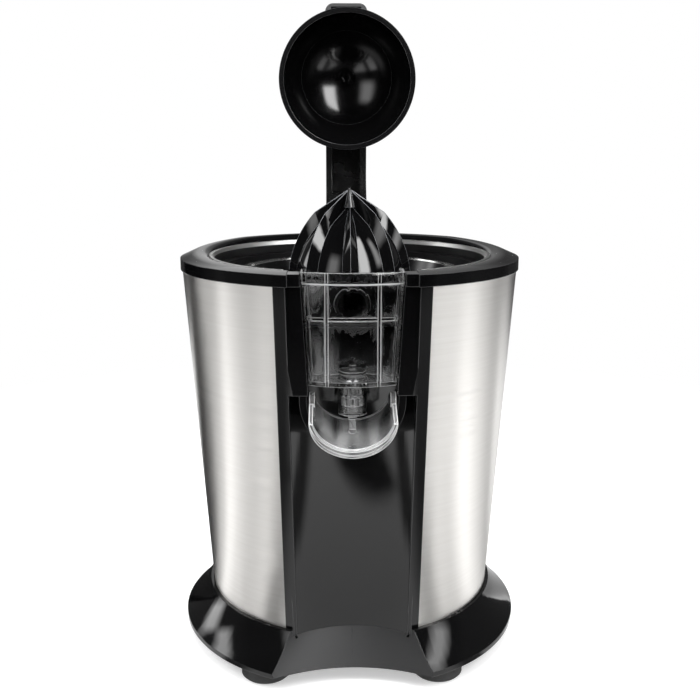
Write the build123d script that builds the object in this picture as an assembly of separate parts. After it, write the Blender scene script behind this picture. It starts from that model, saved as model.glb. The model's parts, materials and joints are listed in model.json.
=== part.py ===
from build123d import *
import math
import os

# Countertop lever citrus juicer. Millimetres, +Z up, the front faces -Y, the feet stand on Z = 0.
# The lever is modelled lowered onto the cone and then turned up to its rest position.
# Pieces are drawn about the drum's axis and written with the origin under the middle of the overall box.

# Rim and drum
RIM_R = 110.0
RIM_EDGE_Z = 256.0
RIM_BAND_H = 7.0
RIM_SHOULDER_R = 103.0
RIM_SHOULDER_RISE = 4.9
RIM_CREST_R = 99.0
RIM_CREST_RISE = 6.0
RIM_HOLE_R = 92.0
RIM_HOLE_RISE = 1.7
RIM_WALL = 2.5
RIM_SEAT_FIT = 0.2
RIM_OVERHANG = 1.2
LEDGE_R = 84.0
LEDGE_DEPTH = 9.0
LEDGE_T = 3.0
DRUM_TAPER = 0.0642
STEEL_T = 1.2
FRONT_EDGE_TOP = 44.9
FRONT_EDGE_LOW = 41.0
END_BLOCK_W = 9.5
END_BLOCK_SETBACK = 1.5
END_BLOCK_RISE = 1.0
END_BLOCK_L = 13.0

# Base
BASE_EDGE_Z = 10.0
SKIRT_R = 114.2
SKIRT_EDGE_H = 3.0
SKIRT_TOP_Z = 34.0
SKIRT_WALL = 2.4
SKIRT_LEDGE_T = 3.0
SKIRT_LEDGE_W = 3.6
SKIRT_NOTCH = 4.8
WRAP_LIFT = 14.0
SKIRT_FRONT_TOP_Z = 30.0
SKIRT_HOLLOW = 1.3
SKIRT_FRONT_R = 98.7
SKIRT_FRONT_Y = -91.4
PLATE_T = 4.0
FOOT_R = 15.7
FOOT_ANGLE = 55.5
FOOT_EDGE_GAP = 0.8
FOOT_RECESS = 3.0
FOOT_EDGE = 1.5
FOOT_SCREW_R = 2.0
FOOT_SCREW_SEAT = 3.0
FOOT_NUT_H = 3.0

# Front panel
PANEL_R = 58.8
PANEL_Y = -76.0
PANEL_HALF_W = 38.8
PANEL_WALL = 2.5
STRIP_T = 3.0
STRIP_W = 7.0

# Clear juice box
BOX_HALF_TOP = 28.8
BOX_HALF_LOW = 25.0
BOX_BACK_Y = -78.5
BOX_SIDE_Y = -98.0
BOX_FRONT_BOW = 6.0
BOX_RISE = 1.0
BOX_H = 65.0
BOX_WALL = 2.2
BOX_GAP = 0.5
BOX_LIP_H = 6.5
BOX_LIP_OUT = 0.4
BOX_BACK_DROP = 8.5
BOX_SHELF_DEPTH = 24.6
BOX_SHELF_T = 1.8
BOX_SHELF_IN = 2.0
BOX_RIB_X = 14.7
BOX_RIB_T = 1.6
BOX_RIB_IN = 6.0
NOZZLE_Y = -89.5
NOZZLE_R = 8.6
NOZZLE_WALL = 1.8
NOZZLE_DROP = 18.5

# Drip valve
VALVE_LIFT = 3.0
VALVE_HEAD_T = 2.0
VALVE_HEAD_R = 7.8
VALVE_STEM_R = 2.6
VALVE_NUB_R = 1.8
VALVE_NUB_H = 3.0
VALVE_STEM_OUT = 3.5
SPIDER_T = 5.0
SPIDER_ARMS = 3
SPIDER_TURN = 30.0
VALVE_SEAL_T = 0.8

# Drip spout
SPOUT_PIVOT_Y = -92.0
SPOUT_PIVOT_DROP = 10.0
SPOUT_HALF_W = 25.0
SPOUT_SAG = 22.0
SPOUT_WALL = 2.2
SPOUT_TILT = 20.0
SPOUT_BACK = 8.0
SPOUT_FRONT = 24.0
SPOUT_LIP_L = 4.5
SPOUT_LIP_T = 2.4
SPOUT_EAR_R = 4.5
SPOUT_EAR_PAD = 1.0
SPOUT_PIN_R = 2.0
SPOUT_PIN_HEAD_R = 3.2
SPOUT_PIN_HEAD_T = 1.0
SPOUT_POST_R = 2.0
CHEEK_GAP = 0.8
CHEEK_FRONT = 7.0
CHEEK_LIFT = 4.0
COLLAR_GAP = 1.6
COLLAR_WALL = 4.2
COLLAR_FRONT = 4.0

# Bowl, trim ring and strainer
BOWL_WALL = 2.5
BOWL_FLANGE_T = 3.0
BOWL_LOW_R = 74.0
BOWL_FLOOR_DEPTH = 30.0
BOWL_FRONT_Y = -76.5
CHIMNEY_R = 11.0
CHIMNEY_WALL = 2.5
CHIMNEY_TOP_DEPTH = 12.0
OUTLET_R = 9.9
OUTLET_WALL = 1.8
OUTLET_DEPTH = 20.5
OUTLET_REACH = 8.0
TRIM_T = 3.6
TRIM_RISE = 2.2
TRIM_BEVEL = 1.4
TRIM_BEVEL_H = 2.8
STRAINER_R = 71.0
STRAINER_TOP_DEPTH = 8.0
STRAINER_FLOOR_R = 62.0
STRAINER_FLOOR_DEPTH = 25.0
STRAINER_T = 1.6
STRAINER_LIP = 2.4
STRAINER_SLOTS = 36
STRAINER_SLOT_W = 1.6
STRAINER_SLOT_R0 = 22.0
STRAINER_SLOT_END = 3.2
STRAINER_LEGS = 4
STRAINER_LEG_R = 3.0

# Cone
CONE_TIP_RISE = 43.0
CONE_BASE_DEPTH = 20.0
CONE_R = 40.5
CONE_WALL = 2.5
CONE_TIP_DROP = 2.2
CONE_KNEE_R = 0.56
CONE_KNEE_DROP = 0.24
CONE_WAIST_R = 0.85
CONE_WAIST_DROP = 0.52
CONE_RIBS = 8
CONE_RIB_TURN = 9.5
CONE_RIB_ROOT = 0.4
CONE_GROOVE = 4.6
CONE_NECK_R = 5.0
CONE_NECK_DROP = 12.0
CONE_POINT_R = 0.8
CONE_POINT_RISE = 0.2
CONE_HUB_R = 9.0

# Drive
SHAFT_R = 5.0
SHAFT_TOP_RISE = 22.0
SHAFT_HEX = 10.0
SHOULDER_R = 8.0
SHOULDER_T = 2.0
PRESS_STROKE = 2.0
COLLAR_R = 12.0
COLLAR_T = 4.0
SEAL_H = 5.0
SPRING_TURNS = 3
SPRING_WIRE_R = 0.7
SPRING_R = 9.0
GEAR_MODULE = 1.25
GEAR_TEETH = 60
PINION_TEETH = 12
GEAR_W = 10.0
GEAR_HUB_R = 11.0
GEAR_JOURNAL_R = 9.0
GEAR_WEB_T = 4.0
GEAR_RIM_T = 5.0
TOOTH_RISE = 0.75
TOOTH_DEPTH = 1.2
TOOTH_SHARE = 0.42
TOOTH_ROOT_GROW = 0.16
TOOTH_TIP_SHRINK = 0.22
MESH_GAP = 0.15
BUSH_T = 2.5
RUN_FIT = 0.05
DROP_FIT = 0.3
END_PLAY = 0.3

# Gear case and deck
DECK_T = 4.0
DECK_R = 86.0
DECK_FRONT_Y = -62.0
GEAR_ROOM = 2.0
CASE_WALL = 2.5
CASE_TOP_T = 4.0
CASE_TOP_DEPTH = 48.0
POST_R = 5.0
POST_FRONT = (62.0, -25.0)
POST_REAR = (78.0, 30.0)
SCREW_R = 2.0
SCREW_HEAD_R = 3.6
SCREW_HEAD_H = 2.4
DECK_SCREW_L = 16.0
CASE_SCREW_L = 8.0
CASE_EAR_T = 4.0
CASE_SCREW_ANGLES = (200.0, 270.0, 340.0)

# Motor
STATOR_R = 34.0
STATOR_BORE_R = 18.0
STATOR_H = 40.0
AIR_GAP = 0.4
ROTOR_SHAFT_R = 4.0
WINDING_H = 11.0
WINDING_GAP = 0.3
WINDING_BORE_GAP = 1.2
STUD_R = 2.0
STUD_HEAD_R = 3.6
STUD_HEAD_H = 2.0
SPACER_R = 4.0
STUD_CIRCLE_R = 30.5
MOTOR_DROP = 26.0
BRACKET_T = 4.0
BRACKET_DROP = 20.0
FAN_R = 24.0
FAN_T = 3.0
FAN_BLADES = 8
FAN_BLADE_H = 8.0
FAN_BLADE_T = 1.5
FAN_HUB_T = 3.0
FAN_DROP = 3.0

# Lever
HINGE_Y = 107.0
HINGE_RISE = 12.0
RAISE_ANGLE = 83.5
ARM_W = 32.0
ARM_WALL = 4.5
ARM_TOP_T = 5.0
BARREL_R = 8.0
ELBOW_Y = 66.0
ARM_BEND_R = 31.0
ARM_HEEL_IN = 1.0
ARM_HEEL_RISE = 12.0
ARM_UNDER_RISE = 51.5
ARM_DEPTH = 21.0
ARM_END_Y = -53.8
ARM_END_WALL = 2.5
ARM_END_CORNER = 6.0
ARM_END_RISE = 1.5
ARM_END_ROUND = 5.0
ARM_RIB_W = 1.6
ARM_RIB_H = 1.0
ARM_CROWN_OUT = 0.74
ARM_CROWN_DROP = 0.3
CHANNEL_REACH = 23.0
CHANNEL_DIP = 8.4
CHANNEL_HEEL = 11.0
PIN_R = 4.0
EAR_W = 7.0
EAR_GAP = 0.4
EAR_R = 9.0
EAR_FOOT_T = 5.5
EAR_FOOT_DEPTH = 2.0
EAR_FOOT_BACK = 10.0
EAR_FOOT_FRONT = 13.5
EAR_SCREW_INSET = 4.5
NOTCH_GAP = 0.4
DOME_R = 49.4
DOME_WALL = 3.5
DOME_OPEN_RISE = -0.5
DOME_STEP_R = 34.0
DOME_STEP = 0.8
DOME_BOSS_R = 11.0
DOME_SCREW_R = 3.0
DOME_SCREW_HEAD_R = 6.2
DOME_SCREW_HEAD_H = 2.5
DOME_SCREW_BITE = 2.5
DOME_SCREW_HOLE = 3.0

# Cord inlet and switch
GROMMET_R = 6.0
GROMMET_BORE_R = 3.5
GROMMET_Z = 24.0
GROMMET_L = 16.0
SWITCH_L = 20.0
SWITCH_W = 8.0
SWITCH_H = 7.0
SWITCH_GAP = 1.2
LEAF_W = 4.0
LEAF_T = 0.3
LEAF_RISE = 2.3

# Derived levels and sizes
WRAP_TOP_Z = RIM_EDGE_Z - RIM_BAND_H
WRAP_LOW_Z = BASE_EDGE_Z + PLATE_T + WRAP_LIFT
LEDGE_Z = RIM_EDGE_Z - LEDGE_DEPTH
FLANGE_TOP_Z = LEDGE_Z + BOWL_FLANGE_T
BOWL_FLOOR_Z = RIM_EDGE_Z - BOWL_FLOOR_DEPTH
BOWL_LOW_Z = BOWL_FLOOR_Z - BOWL_WALL
BOX_TOP_Z = RIM_EDGE_Z + BOX_RISE
BOX_LOW_Z = BOX_TOP_Z - BOX_H
BOX_FLOOR_Z = BOX_LOW_Z + BOX_WALL
GAP_HALF = BOX_HALF_TOP + BOX_LIP_OUT + BOX_GAP
PLATE_Z = BASE_EDGE_Z
PLATE_TOP_Z = PLATE_Z + PLATE_T
CASE_TOP_Z = RIM_EDGE_Z - CASE_TOP_DEPTH
CASE_ROOF_Z = CASE_TOP_Z - CASE_TOP_T
GEAR_TOP_Z = CASE_ROOF_Z - GEAR_ROOM
GEAR_Z = GEAR_TOP_Z - GEAR_W
DECK_TOP_Z = GEAR_Z - GEAR_ROOM
DECK_Z = DECK_TOP_Z - DECK_T
GEAR_PITCH_R = GEAR_MODULE * GEAR_TEETH / 2
PINION_PITCH_R = GEAR_MODULE * PINION_TEETH / 2
MOTOR_Y = GEAR_PITCH_R + PINION_PITCH_R + MESH_GAP
STATOR_TOP_Z = DECK_Z - MOTOR_DROP
STATOR_Z = STATOR_TOP_Z - STATOR_H
BRACKET_TOP_Z = STATOR_Z - BRACKET_DROP
BRACKET_Z = BRACKET_TOP_Z - BRACKET_T
FAN_TOP_Z = BRACKET_Z - FAN_DROP
FAN_Z = FAN_TOP_Z - FAN_T
COLLAR_TOP_Z = BOWL_LOW_Z - PRESS_STROKE - SHOULDER_T
COLLAR_Z = COLLAR_TOP_Z - COLLAR_T
HINGE_Z = RIM_EDGE_Z + HINGE_RISE
PANEL_AXIS_Y = PANEL_Y - PANEL_R
SPOUT_PIVOT_Z = BOX_LOW_Z - SPOUT_PIVOT_DROP
ARM_UNDER_Z = RIM_EDGE_Z + ARM_UNDER_RISE
ARM_TOP_Z = ARM_UNDER_Z + ARM_DEPTH
ARM_ROOF_Z = ARM_TOP_Z - ARM_TOP_T
NOZZLE_TIP_Z = BOX_LOW_Z - NOZZLE_DROP
VALVE_HEAD_Z = BOX_FLOOR_Z + VALVE_LIFT
BRACKET_HALF = ARM_W / 2 + EAR_GAP + EAR_W
FAR = 400.0


def drum_r(z):
    """Outer radius of the steel drum at a height."""
    return RIM_R - RIM_OVERHANG - DRUM_TAPER * (WRAP_TOP_Z - z)


def edge_x(z):
    """Half width of the drum's front opening at a height."""
    share = (z - WRAP_LOW_Z) / (WRAP_TOP_Z - WRAP_LOW_Z)
    return FRONT_EDGE_LOW + (FRONT_EDGE_TOP - FRONT_EDGE_LOW) * share


def cyl(r, z0, z1, x=0.0, y=0.0):
    """Upright cylinder between two heights."""
    return Pos(x, y, z0) * Cylinder(r, z1 - z0, align=(Align.CENTER, Align.CENTER, Align.MIN))


def tube(r_out, r_in, z0, z1, x=0.0, y=0.0):
    """Upright tube between two heights."""
    return cyl(r_out, z0, z1, x, y) - cyl(r_in, z0, z1, x, y)


def block(x0, x1, y0, y1, z0, z1):
    """Box between two corners."""
    return Pos(x0, y0, z0) * Box(x1 - x0, y1 - y0, z1 - z0, align=(Align.MIN, Align.MIN, Align.MIN))


def rod_x(r, x0, x1, y, z):
    """Cylinder along X between two places."""
    return Pos(x0, y, z) * Rot(0, 90, 0) * Cylinder(r, x1 - x0, align=(Align.CENTER, Align.CENTER, Align.MIN))


def rod_y(r, y0, y1, x, z):
    """Cylinder along Y between two places."""
    return Pos(x, y1, z) * Rot(90, 0, 0) * Cylinder(r, y1 - y0, align=(Align.CENTER, Align.CENTER, Align.MIN))


def turned(points):
    """Solid of revolution about Z from a closed outline of radius and height."""
    return revolve(make_face(Polyline([(r, 0, z) for r, z in points], close=True)), Axis.Z)


def frustum(inset, z0, z1):
    """Solid inside the drum's cone, set in from its outside."""
    return turned([(0, z0), (drum_r(z0) - inset, z0), (drum_r(z1) - inset, z1), (0, z1)])


def side_profile(edges, x0, x1):
    """Solid between two X places from a closed outline in the YZ plane."""
    return extrude(make_face(Plane.YZ.offset(x0) * edges), x1 - x0, dir=(1, 0, 0))


def mirrored_x(shape):
    """The shape with its twin on the other side of the YZ plane."""
    return shape + mirror(shape, Plane.YZ)


def separate(shapes):
    """Group of solids that share one node."""
    return Compound([solid for shape in shapes for solid in shape.solids()])


def screw_down(x, y, z_seat, length, r=SCREW_R, head_r=SCREW_HEAD_R, head_h=SCREW_HEAD_H):
    """Screw with its head above the seat and its shank below."""
    slot = block(x - head_r, x + head_r, y - r / 4, y + r / 4, z_seat + head_h / 2, z_seat + head_h)
    return cyl(r, z_seat - length, z_seat, x, y) + cyl(head_r, z_seat, z_seat + head_h, x, y) - slot


def front_wedge(inset):
    """Tapering prism that opens the drum's front, narrowed on each side by an inset."""
    low = edge_x(0) - inset
    high = edge_x(FAR) - inset
    outline = Polyline([(-low, 0, 0), (low, 0, 0), (high, 0, FAR), (-high, 0, FAR)], close=True)
    return extrude(make_face(outline), FAR, dir=(0, -1, 0))


# Base


def foot_places():
    """The four feet, with their names."""
    r = SKIRT_R - SKIRT_WALL - FOOT_EDGE_GAP - FOOT_R
    x = r * math.cos(math.radians(FOOT_ANGLE))
    y = r * math.sin(math.radians(FOOT_ANGLE))
    return [
        ("foot_front_left", -x, -y),
        ("foot_front_right", x, -y),
        ("foot_rear_left", -x, y),
        ("foot_rear_right", x, y),
    ]


def skirt_front_cut(grow):
    """Flared hollow in the front of the base, grown for the inner face."""
    low_axis = SKIRT_FRONT_Y - SKIRT_FRONT_R
    low = Plane.XY.offset(BASE_EDGE_Z) * Pos(0, low_axis) * Circle(SKIRT_FRONT_R + grow)
    high = Plane.XY.offset(SKIRT_FRONT_TOP_Z) * Pos(0, PANEL_AXIS_Y) * Circle(PANEL_R + grow)
    flare = loft(Sketch() + [low, high], ruled=True)
    below = cyl(SKIRT_FRONT_R + grow, 0, BASE_EDGE_Z, 0, low_axis)
    above = cyl(PANEL_R + grow, SKIRT_FRONT_TOP_Z, FAR, 0, PANEL_AXIS_Y)
    return flare + below + above


def skirt_body(inset):
    """Flared round body of the base, set in by a wall."""
    top_r = drum_r(SKIRT_TOP_Z) + RUN_FIT + SKIRT_WALL - inset
    low_r = SKIRT_R - inset
    edge_z = BASE_EDGE_Z + SKIRT_EDGE_H
    wide = low_r - top_r
    tall = SKIRT_TOP_Z - edge_z
    slant = math.hypot(wide, tall)
    mid_r = (low_r + top_r) / 2 - SKIRT_HOLLOW * tall / slant
    mid_z = (SKIRT_TOP_Z + edge_z) / 2 - SKIRT_HOLLOW * wide / slant
    outline = [
        Line((0, 0, BASE_EDGE_Z), (low_r, 0, BASE_EDGE_Z)),
        Line((low_r, 0, BASE_EDGE_Z), (low_r, 0, edge_z)),
        ThreePointArc((low_r, 0, edge_z), (mid_r, 0, mid_z), (top_r, 0, SKIRT_TOP_Z)),
        Line((top_r, 0, SKIRT_TOP_Z), (0, 0, SKIRT_TOP_Z)),
        Line((0, 0, SKIRT_TOP_Z), (0, 0, BASE_EDGE_Z)),
    ]
    return revolve(make_face(outline), Axis.Z)


def front_top_notch():
    """Room above the base's front where the panel stands."""
    half = edge_x(SKIRT_TOP_Z)
    middle = half - STRIP_W + PANEL_WALL + RUN_FIT
    back = PANEL_Y + SKIRT_NOTCH
    behind_lip = block(-half, half, -FAR, back, SKIRT_FRONT_TOP_Z, FAR)
    behind_lip = behind_lip & frustum(-RUN_FIT, SKIRT_FRONT_TOP_Z, SKIRT_TOP_Z)
    return behind_lip + block(-middle, middle, -FAR, back, SKIRT_FRONT_TOP_Z, FAR)


def base_skirt():
    outer = skirt_body(0) - skirt_front_cut(0)
    hollow = skirt_body(SKIRT_WALL) - skirt_front_cut(SKIRT_WALL)
    ledge_out = drum_r(WRAP_LOW_Z) + SKIRT_WALL
    ledge = tube(ledge_out, drum_r(WRAP_LOW_Z) - SKIRT_LEDGE_W, WRAP_LOW_Z - SKIRT_LEDGE_T, WRAP_LOW_Z)
    ledge = ledge & outer
    grommet_hole = rod_y(GROMMET_R + RUN_FIT, 0, FAR, 0, GROMMET_Z)
    groove = frustum(-RUN_FIT, WRAP_LOW_Z, SKIRT_TOP_Z)
    groove -= frustum(STEEL_T + RUN_FIT, WRAP_LOW_Z, SKIRT_TOP_Z)
    return outer - hollow + ledge - groove - front_top_notch() - grommet_hole


def base_plate():
    disc = cyl(SKIRT_R - SKIRT_WALL - RUN_FIT, PLATE_Z, PLATE_TOP_Z) - skirt_front_cut(SKIRT_WALL + RUN_FIT)
    inside = skirt_body(SKIRT_WALL + RUN_FIT)
    plate = disc & inside
    for _, x, y in foot_places():
        plate -= cyl(FOOT_R + RUN_FIT, PLATE_Z, PLATE_Z + FOOT_RECESS, x, y)
        plate -= cyl(FOOT_SCREW_R + RUN_FIT, PLATE_Z, PLATE_TOP_Z, x, y)
    for x, y in post_places():
        plate -= cyl(SCREW_R + RUN_FIT, PLATE_Z, PLATE_TOP_Z, x, y)
    return plate


def foot(x, y):
    bore = FOOT_SCREW_R + RUN_FIT
    recess_r = SCREW_HEAD_R + FOOT_EDGE
    outline = [
        (bore, FOOT_SCREW_SEAT), (recess_r, FOOT_SCREW_SEAT), (recess_r, 0), (FOOT_R - FOOT_EDGE, 0),
        (FOOT_R, FOOT_EDGE), (FOOT_R, PLATE_Z + FOOT_RECESS), (bore, PLATE_Z + FOOT_RECESS),
    ]
    return Pos(x, y, 0) * turned(outline)


def foot_screws():
    screws = []
    for _, x, y in foot_places():
        shank = cyl(FOOT_SCREW_R, FOOT_SCREW_SEAT, PLATE_TOP_Z + FOOT_NUT_H, x, y)
        head = cyl(SCREW_HEAD_R, FOOT_SCREW_SEAT - SCREW_HEAD_H, FOOT_SCREW_SEAT, x, y)
        nut = Pos(x, y, PLATE_TOP_Z) * extrude(RegularPolygon(SCREW_HEAD_R, 6), FOOT_NUT_H)
        screws.append(shank + head + nut)
    return separate(screws)


def cord_grommet():
    back = SKIRT_R - SKIRT_WALL * 2 - GROMMET_L / 2
    bore = rod_y(GROMMET_BORE_R, 0, FAR, 0, GROMMET_Z)
    return rod_y(GROMMET_R, back, back + GROMMET_L, 0, GROMMET_Z) - bore


# Drum and front


def steel_wrap():
    shell = frustum(0, WRAP_LOW_Z, WRAP_TOP_Z) - frustum(STEEL_T, WRAP_LOW_Z, WRAP_TOP_Z)
    return shell - front_wedge(0)


def front_panel():
    z0 = SKIRT_FRONT_TOP_Z
    z1 = WRAP_TOP_Z
    drum = frustum(0, z0, z1)
    inner = front_wedge(STRIP_W)
    outer = front_wedge(STRIP_W - PANEL_WALL)
    behind = cyl(PANEL_R + PANEL_WALL, z0, z1, 0, PANEL_AXIS_Y)
    strip = (drum - frustum(STRIP_T, z0, z1)) & front_wedge(RUN_FIT)
    sides = (outer - inner) & drum & behind
    wall = tube(PANEL_R + PANEL_WALL, PANEL_R, z0, z1, 0, PANEL_AXIS_Y) & outer
    wall = wall & block(-FAR, FAR, PANEL_AXIS_Y, FAR, z0, z1)
    plate_y = BOX_BACK_Y + BOX_GAP
    pillar = block(SPOUT_HALF_W + CHEEK_GAP, PANEL_HALF_W, SPOUT_PIVOT_Y - CHEEK_FRONT, BOX_BACK_Y - BOX_GAP,
                   SPOUT_PIVOT_Z + CHEEK_LIFT, z1)
    pillars = mirrored_x(pillar) & outer & drum
    panel = strip - inner + sides + wall + pillars - box_window() + (spout_collar() & behind)
    plate_half = PANEL_HALF_W - PANEL_WALL
    panel += block(-plate_half, plate_half, plate_y, plate_y + PANEL_WALL,
                   BOX_LOW_Z - PANEL_WALL, BOWL_LOW_Z - BOX_GAP)
    return panel - rod_x(SPOUT_PIN_R + RUN_FIT, -PANEL_HALF_W, PANEL_HALF_W, SPOUT_PIVOT_Y, SPOUT_PIVOT_Z)


def spout_collar():
    """Half round collar under the juice box that carries the spout's pivots."""
    r_in = SPOUT_HALF_W + COLLAR_GAP
    r_out = r_in + COLLAR_WALL
    front = SPOUT_PIVOT_Y - COLLAR_FRONT
    ring = rod_y(r_out, front, PANEL_Y, 0, SPOUT_PIVOT_Z) - rod_y(r_in, front, PANEL_Y, 0, SPOUT_PIVOT_Z)
    ring = ring & block(-r_out, r_out, front, PANEL_Y, SPOUT_PIVOT_Z - r_out, SPOUT_PIVOT_Z)
    cheek = block(r_in, r_out, front, PANEL_Y, SPOUT_PIVOT_Z, BOX_LOW_Z - BOX_GAP)
    return ring + mirrored_x(cheek)


def box_window():
    """Tapering room for the juice box through the front."""
    low_z = BOX_LOW_Z - BOX_GAP
    low = BOX_HALF_LOW + BOX_LIP_OUT + BOX_GAP
    corners = [(-low, low_z), (low, low_z), (GAP_HALF, BOX_TOP_Z), (-GAP_HALF, BOX_TOP_Z)]
    outline = Polyline([(x, 0, z) for x, z in corners], close=True)
    return extrude(make_face(outline), FAR, dir=(0, -1, 0))


def top_rim():
    z = RIM_EDGE_Z
    low = z - LEDGE_DEPTH - LEDGE_T
    seat_r = drum_r(low) - STEEL_T - RIM_SEAT_FIT
    outline = [
        Line((RIM_R, 0, z - RIM_BAND_H), (RIM_R, 0, z)),
        Line((RIM_R, 0, z), (RIM_SHOULDER_R, 0, z + RIM_SHOULDER_RISE)),
        ThreePointArc((RIM_SHOULDER_R, 0, z + RIM_SHOULDER_RISE), (RIM_CREST_R, 0, z + RIM_CREST_RISE),
                      (RIM_HOLE_R, 0, z + RIM_HOLE_RISE)),
        Line((RIM_HOLE_R, 0, z + RIM_HOLE_RISE), (RIM_HOLE_R, 0, LEDGE_Z)),
        Line((RIM_HOLE_R, 0, LEDGE_Z), (LEDGE_R, 0, LEDGE_Z)),
        Line((LEDGE_R, 0, LEDGE_Z), (LEDGE_R, 0, low)),
        Line((LEDGE_R, 0, low), (RIM_HOLE_R + RIM_WALL, 0, low)),
        Line((RIM_HOLE_R + RIM_WALL, 0, low), (RIM_HOLE_R + RIM_WALL, 0, z)),
        ThreePointArc((RIM_HOLE_R + RIM_WALL, 0, z), (RIM_CREST_R, 0, z + RIM_CREST_RISE - RIM_WALL),
                      (seat_r - RIM_WALL, 0, z)),
        Line((seat_r - RIM_WALL, 0, z), (seat_r - RIM_WALL, 0, low)),
        Line((seat_r - RIM_WALL, 0, low), (seat_r, 0, low)),
        Line((seat_r, 0, low), (seat_r, 0, z - RIM_BAND_H)),
        Line((seat_r, 0, z - RIM_BAND_H), (RIM_R, 0, z - RIM_BAND_H)),
    ]
    ring = revolve(make_face(outline), Axis.Z)
    corner = GAP_HALF + END_BLOCK_W
    ring -= block(-corner + RIM_WALL, corner - RIM_WALL, -FAR, 0, 0, FAR)
    under = FRONT_EDGE_TOP + BOX_GAP
    ring -= block(-under, under, -FAR, 0, 0, z - RIM_BAND_H)
    front = -math.sqrt(RIM_R ** 2 - corner ** 2) + END_BLOCK_SETBACK
    end = block(GAP_HALF, corner, front, front + END_BLOCK_L, z - RIM_BAND_H, z + END_BLOCK_RISE)
    ring += mirrored_x(end)
    half = BRACKET_HALF + NOTCH_GAP
    notch_z = z - EAR_FOOT_DEPTH
    pad = block(-half, half, HINGE_Y - EAR_FOOT_FRONT - NOTCH_GAP, RIM_R, notch_z - RIM_WALL, notch_z)
    pad = pad & cyl(RIM_R - RIM_WALL, 0, FAR)
    ring -= block(-half, half, HINGE_Y - EAR_FOOT_FRONT - NOTCH_GAP, FAR, notch_z, FAR)
    ring += pad
    for x, y in bracket_screw_places():
        ring -= cyl(SCREW_R + RUN_FIT, 0, FAR, x, y)
    return ring


def rim_trim_ring():
    out = RIM_HOLE_R - DROP_FIT
    top = RIM_EDGE_Z + TRIM_RISE
    outline = [
        (out - TRIM_T, FLANGE_TOP_Z), (out, FLANGE_TOP_Z), (out, top),
        (out - TRIM_T + TRIM_BEVEL, top), (out - TRIM_T, top - TRIM_BEVEL_H),
    ]
    half = GAP_HALF + END_BLOCK_W + BOX_GAP
    cut = block(-half, half, -FAR, 0, 0, FAR)
    return turned(outline) - cut


# Bowl and strainer


def bowl_cavity(grow, z_low):
    """Inside of the bowl, grown by a wall."""
    top_r = LEDGE_R - BOWL_WALL - DROP_FIT
    body = turned([(0, z_low), (BOWL_LOW_R + grow, z_low), (top_r + grow, FLANGE_TOP_Z), (0, FLANGE_TOP_Z)])
    return body & block(-FAR, FAR, BOWL_FRONT_Y + BOWL_WALL - grow, FAR, 0, FAR)


def juice_bowl():
    flange = cyl(RIM_HOLE_R - DROP_FIT, LEDGE_Z, FLANGE_TOP_Z)
    half = PANEL_HALF_W + BOX_GAP
    flange -= block(-half, half, -FAR, BOWL_FRONT_Y, 0, FAR)
    outer = flange + bowl_cavity(BOWL_WALL, BOWL_LOW_Z)
    bowl = outer - bowl_cavity(0, BOWL_FLOOR_Z)
    bowl += cyl(CHIMNEY_R, BOWL_LOW_Z, RIM_EDGE_Z - CHIMNEY_TOP_DEPTH)
    bowl -= cyl(CHIMNEY_R - CHIMNEY_WALL, 0, FAR)
    z = RIM_EDGE_Z - OUTLET_DEPTH
    bowl += rod_y(OUTLET_R, BOWL_FRONT_Y - OUTLET_REACH, BOWL_FRONT_Y + BOWL_WALL, 0, z)
    bore_back = BOWL_FRONT_Y + BOWL_WALL
    return bowl - rod_y(OUTLET_R - OUTLET_WALL, BOWL_FRONT_Y - OUTLET_REACH, bore_back, 0, z)


def strainer():
    top = RIM_EDGE_Z - STRAINER_TOP_DEPTH
    floor = RIM_EDGE_Z - STRAINER_FLOOR_DEPTH
    lip = STRAINER_LIP
    hole = CHIMNEY_R + DROP_FIT
    body = turned([
        (hole, floor - STRAINER_T), (STRAINER_FLOOR_R, floor - STRAINER_T), (STRAINER_R - lip, top - lip),
        (STRAINER_R, top - lip), (STRAINER_R, top), (STRAINER_R - lip - STRAINER_T, top),
        (STRAINER_FLOOR_R - STRAINER_T, floor), (hole, floor),
    ])
    slot_out = STRAINER_FLOOR_R - STRAINER_SLOT_END
    half = STRAINER_SLOT_W / 2
    for i in range(STRAINER_SLOTS):
        slot = block(STRAINER_SLOT_R0, slot_out, -half, half, floor - STRAINER_T, floor)
        body -= Rot(0, 0, i * 360 / STRAINER_SLOTS) * slot
    turn = (180 + 360 * (STRAINER_SLOTS // (STRAINER_LEGS * 2))) / STRAINER_SLOTS
    for i in range(STRAINER_LEGS):
        leg = cyl(STRAINER_LEG_R, BOWL_FLOOR_Z, floor - STRAINER_T, slot_out + STRAINER_T, 0)
        body += Rot(0, 0, turn + i * 360 / STRAINER_LEGS) * leg
    return body


# Juice box, valve and spout


def box_outline(half, grow, z):
    """Plan of the juice box at a height, with its bowed front."""
    h = half + grow
    back = BOX_BACK_Y + grow
    side = BOX_SIDE_Y
    front = BOX_SIDE_Y - BOX_FRONT_BOW - grow
    edges = [
        Line((-h, back, z), (h, back, z)),
        Line((h, back, z), (h, side, z)),
        ThreePointArc((h, side, z), (0, front, z), (-h, side, z)),
        Line((-h, side, z), (-h, back, z)),
    ]
    return make_face(edges)


def box_body(grow, z0, z1):
    """Tapering body of the juice box between two heights."""
    taper = (BOX_HALF_TOP - BOX_HALF_LOW) / BOX_H
    low = box_outline(BOX_HALF_LOW + taper * (z0 - BOX_LOW_Z), grow, z0)
    high = box_outline(BOX_HALF_LOW + taper * (z1 - BOX_LOW_Z), grow, z1)
    return loft(Sketch() + [low, high], ruled=True)


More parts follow.
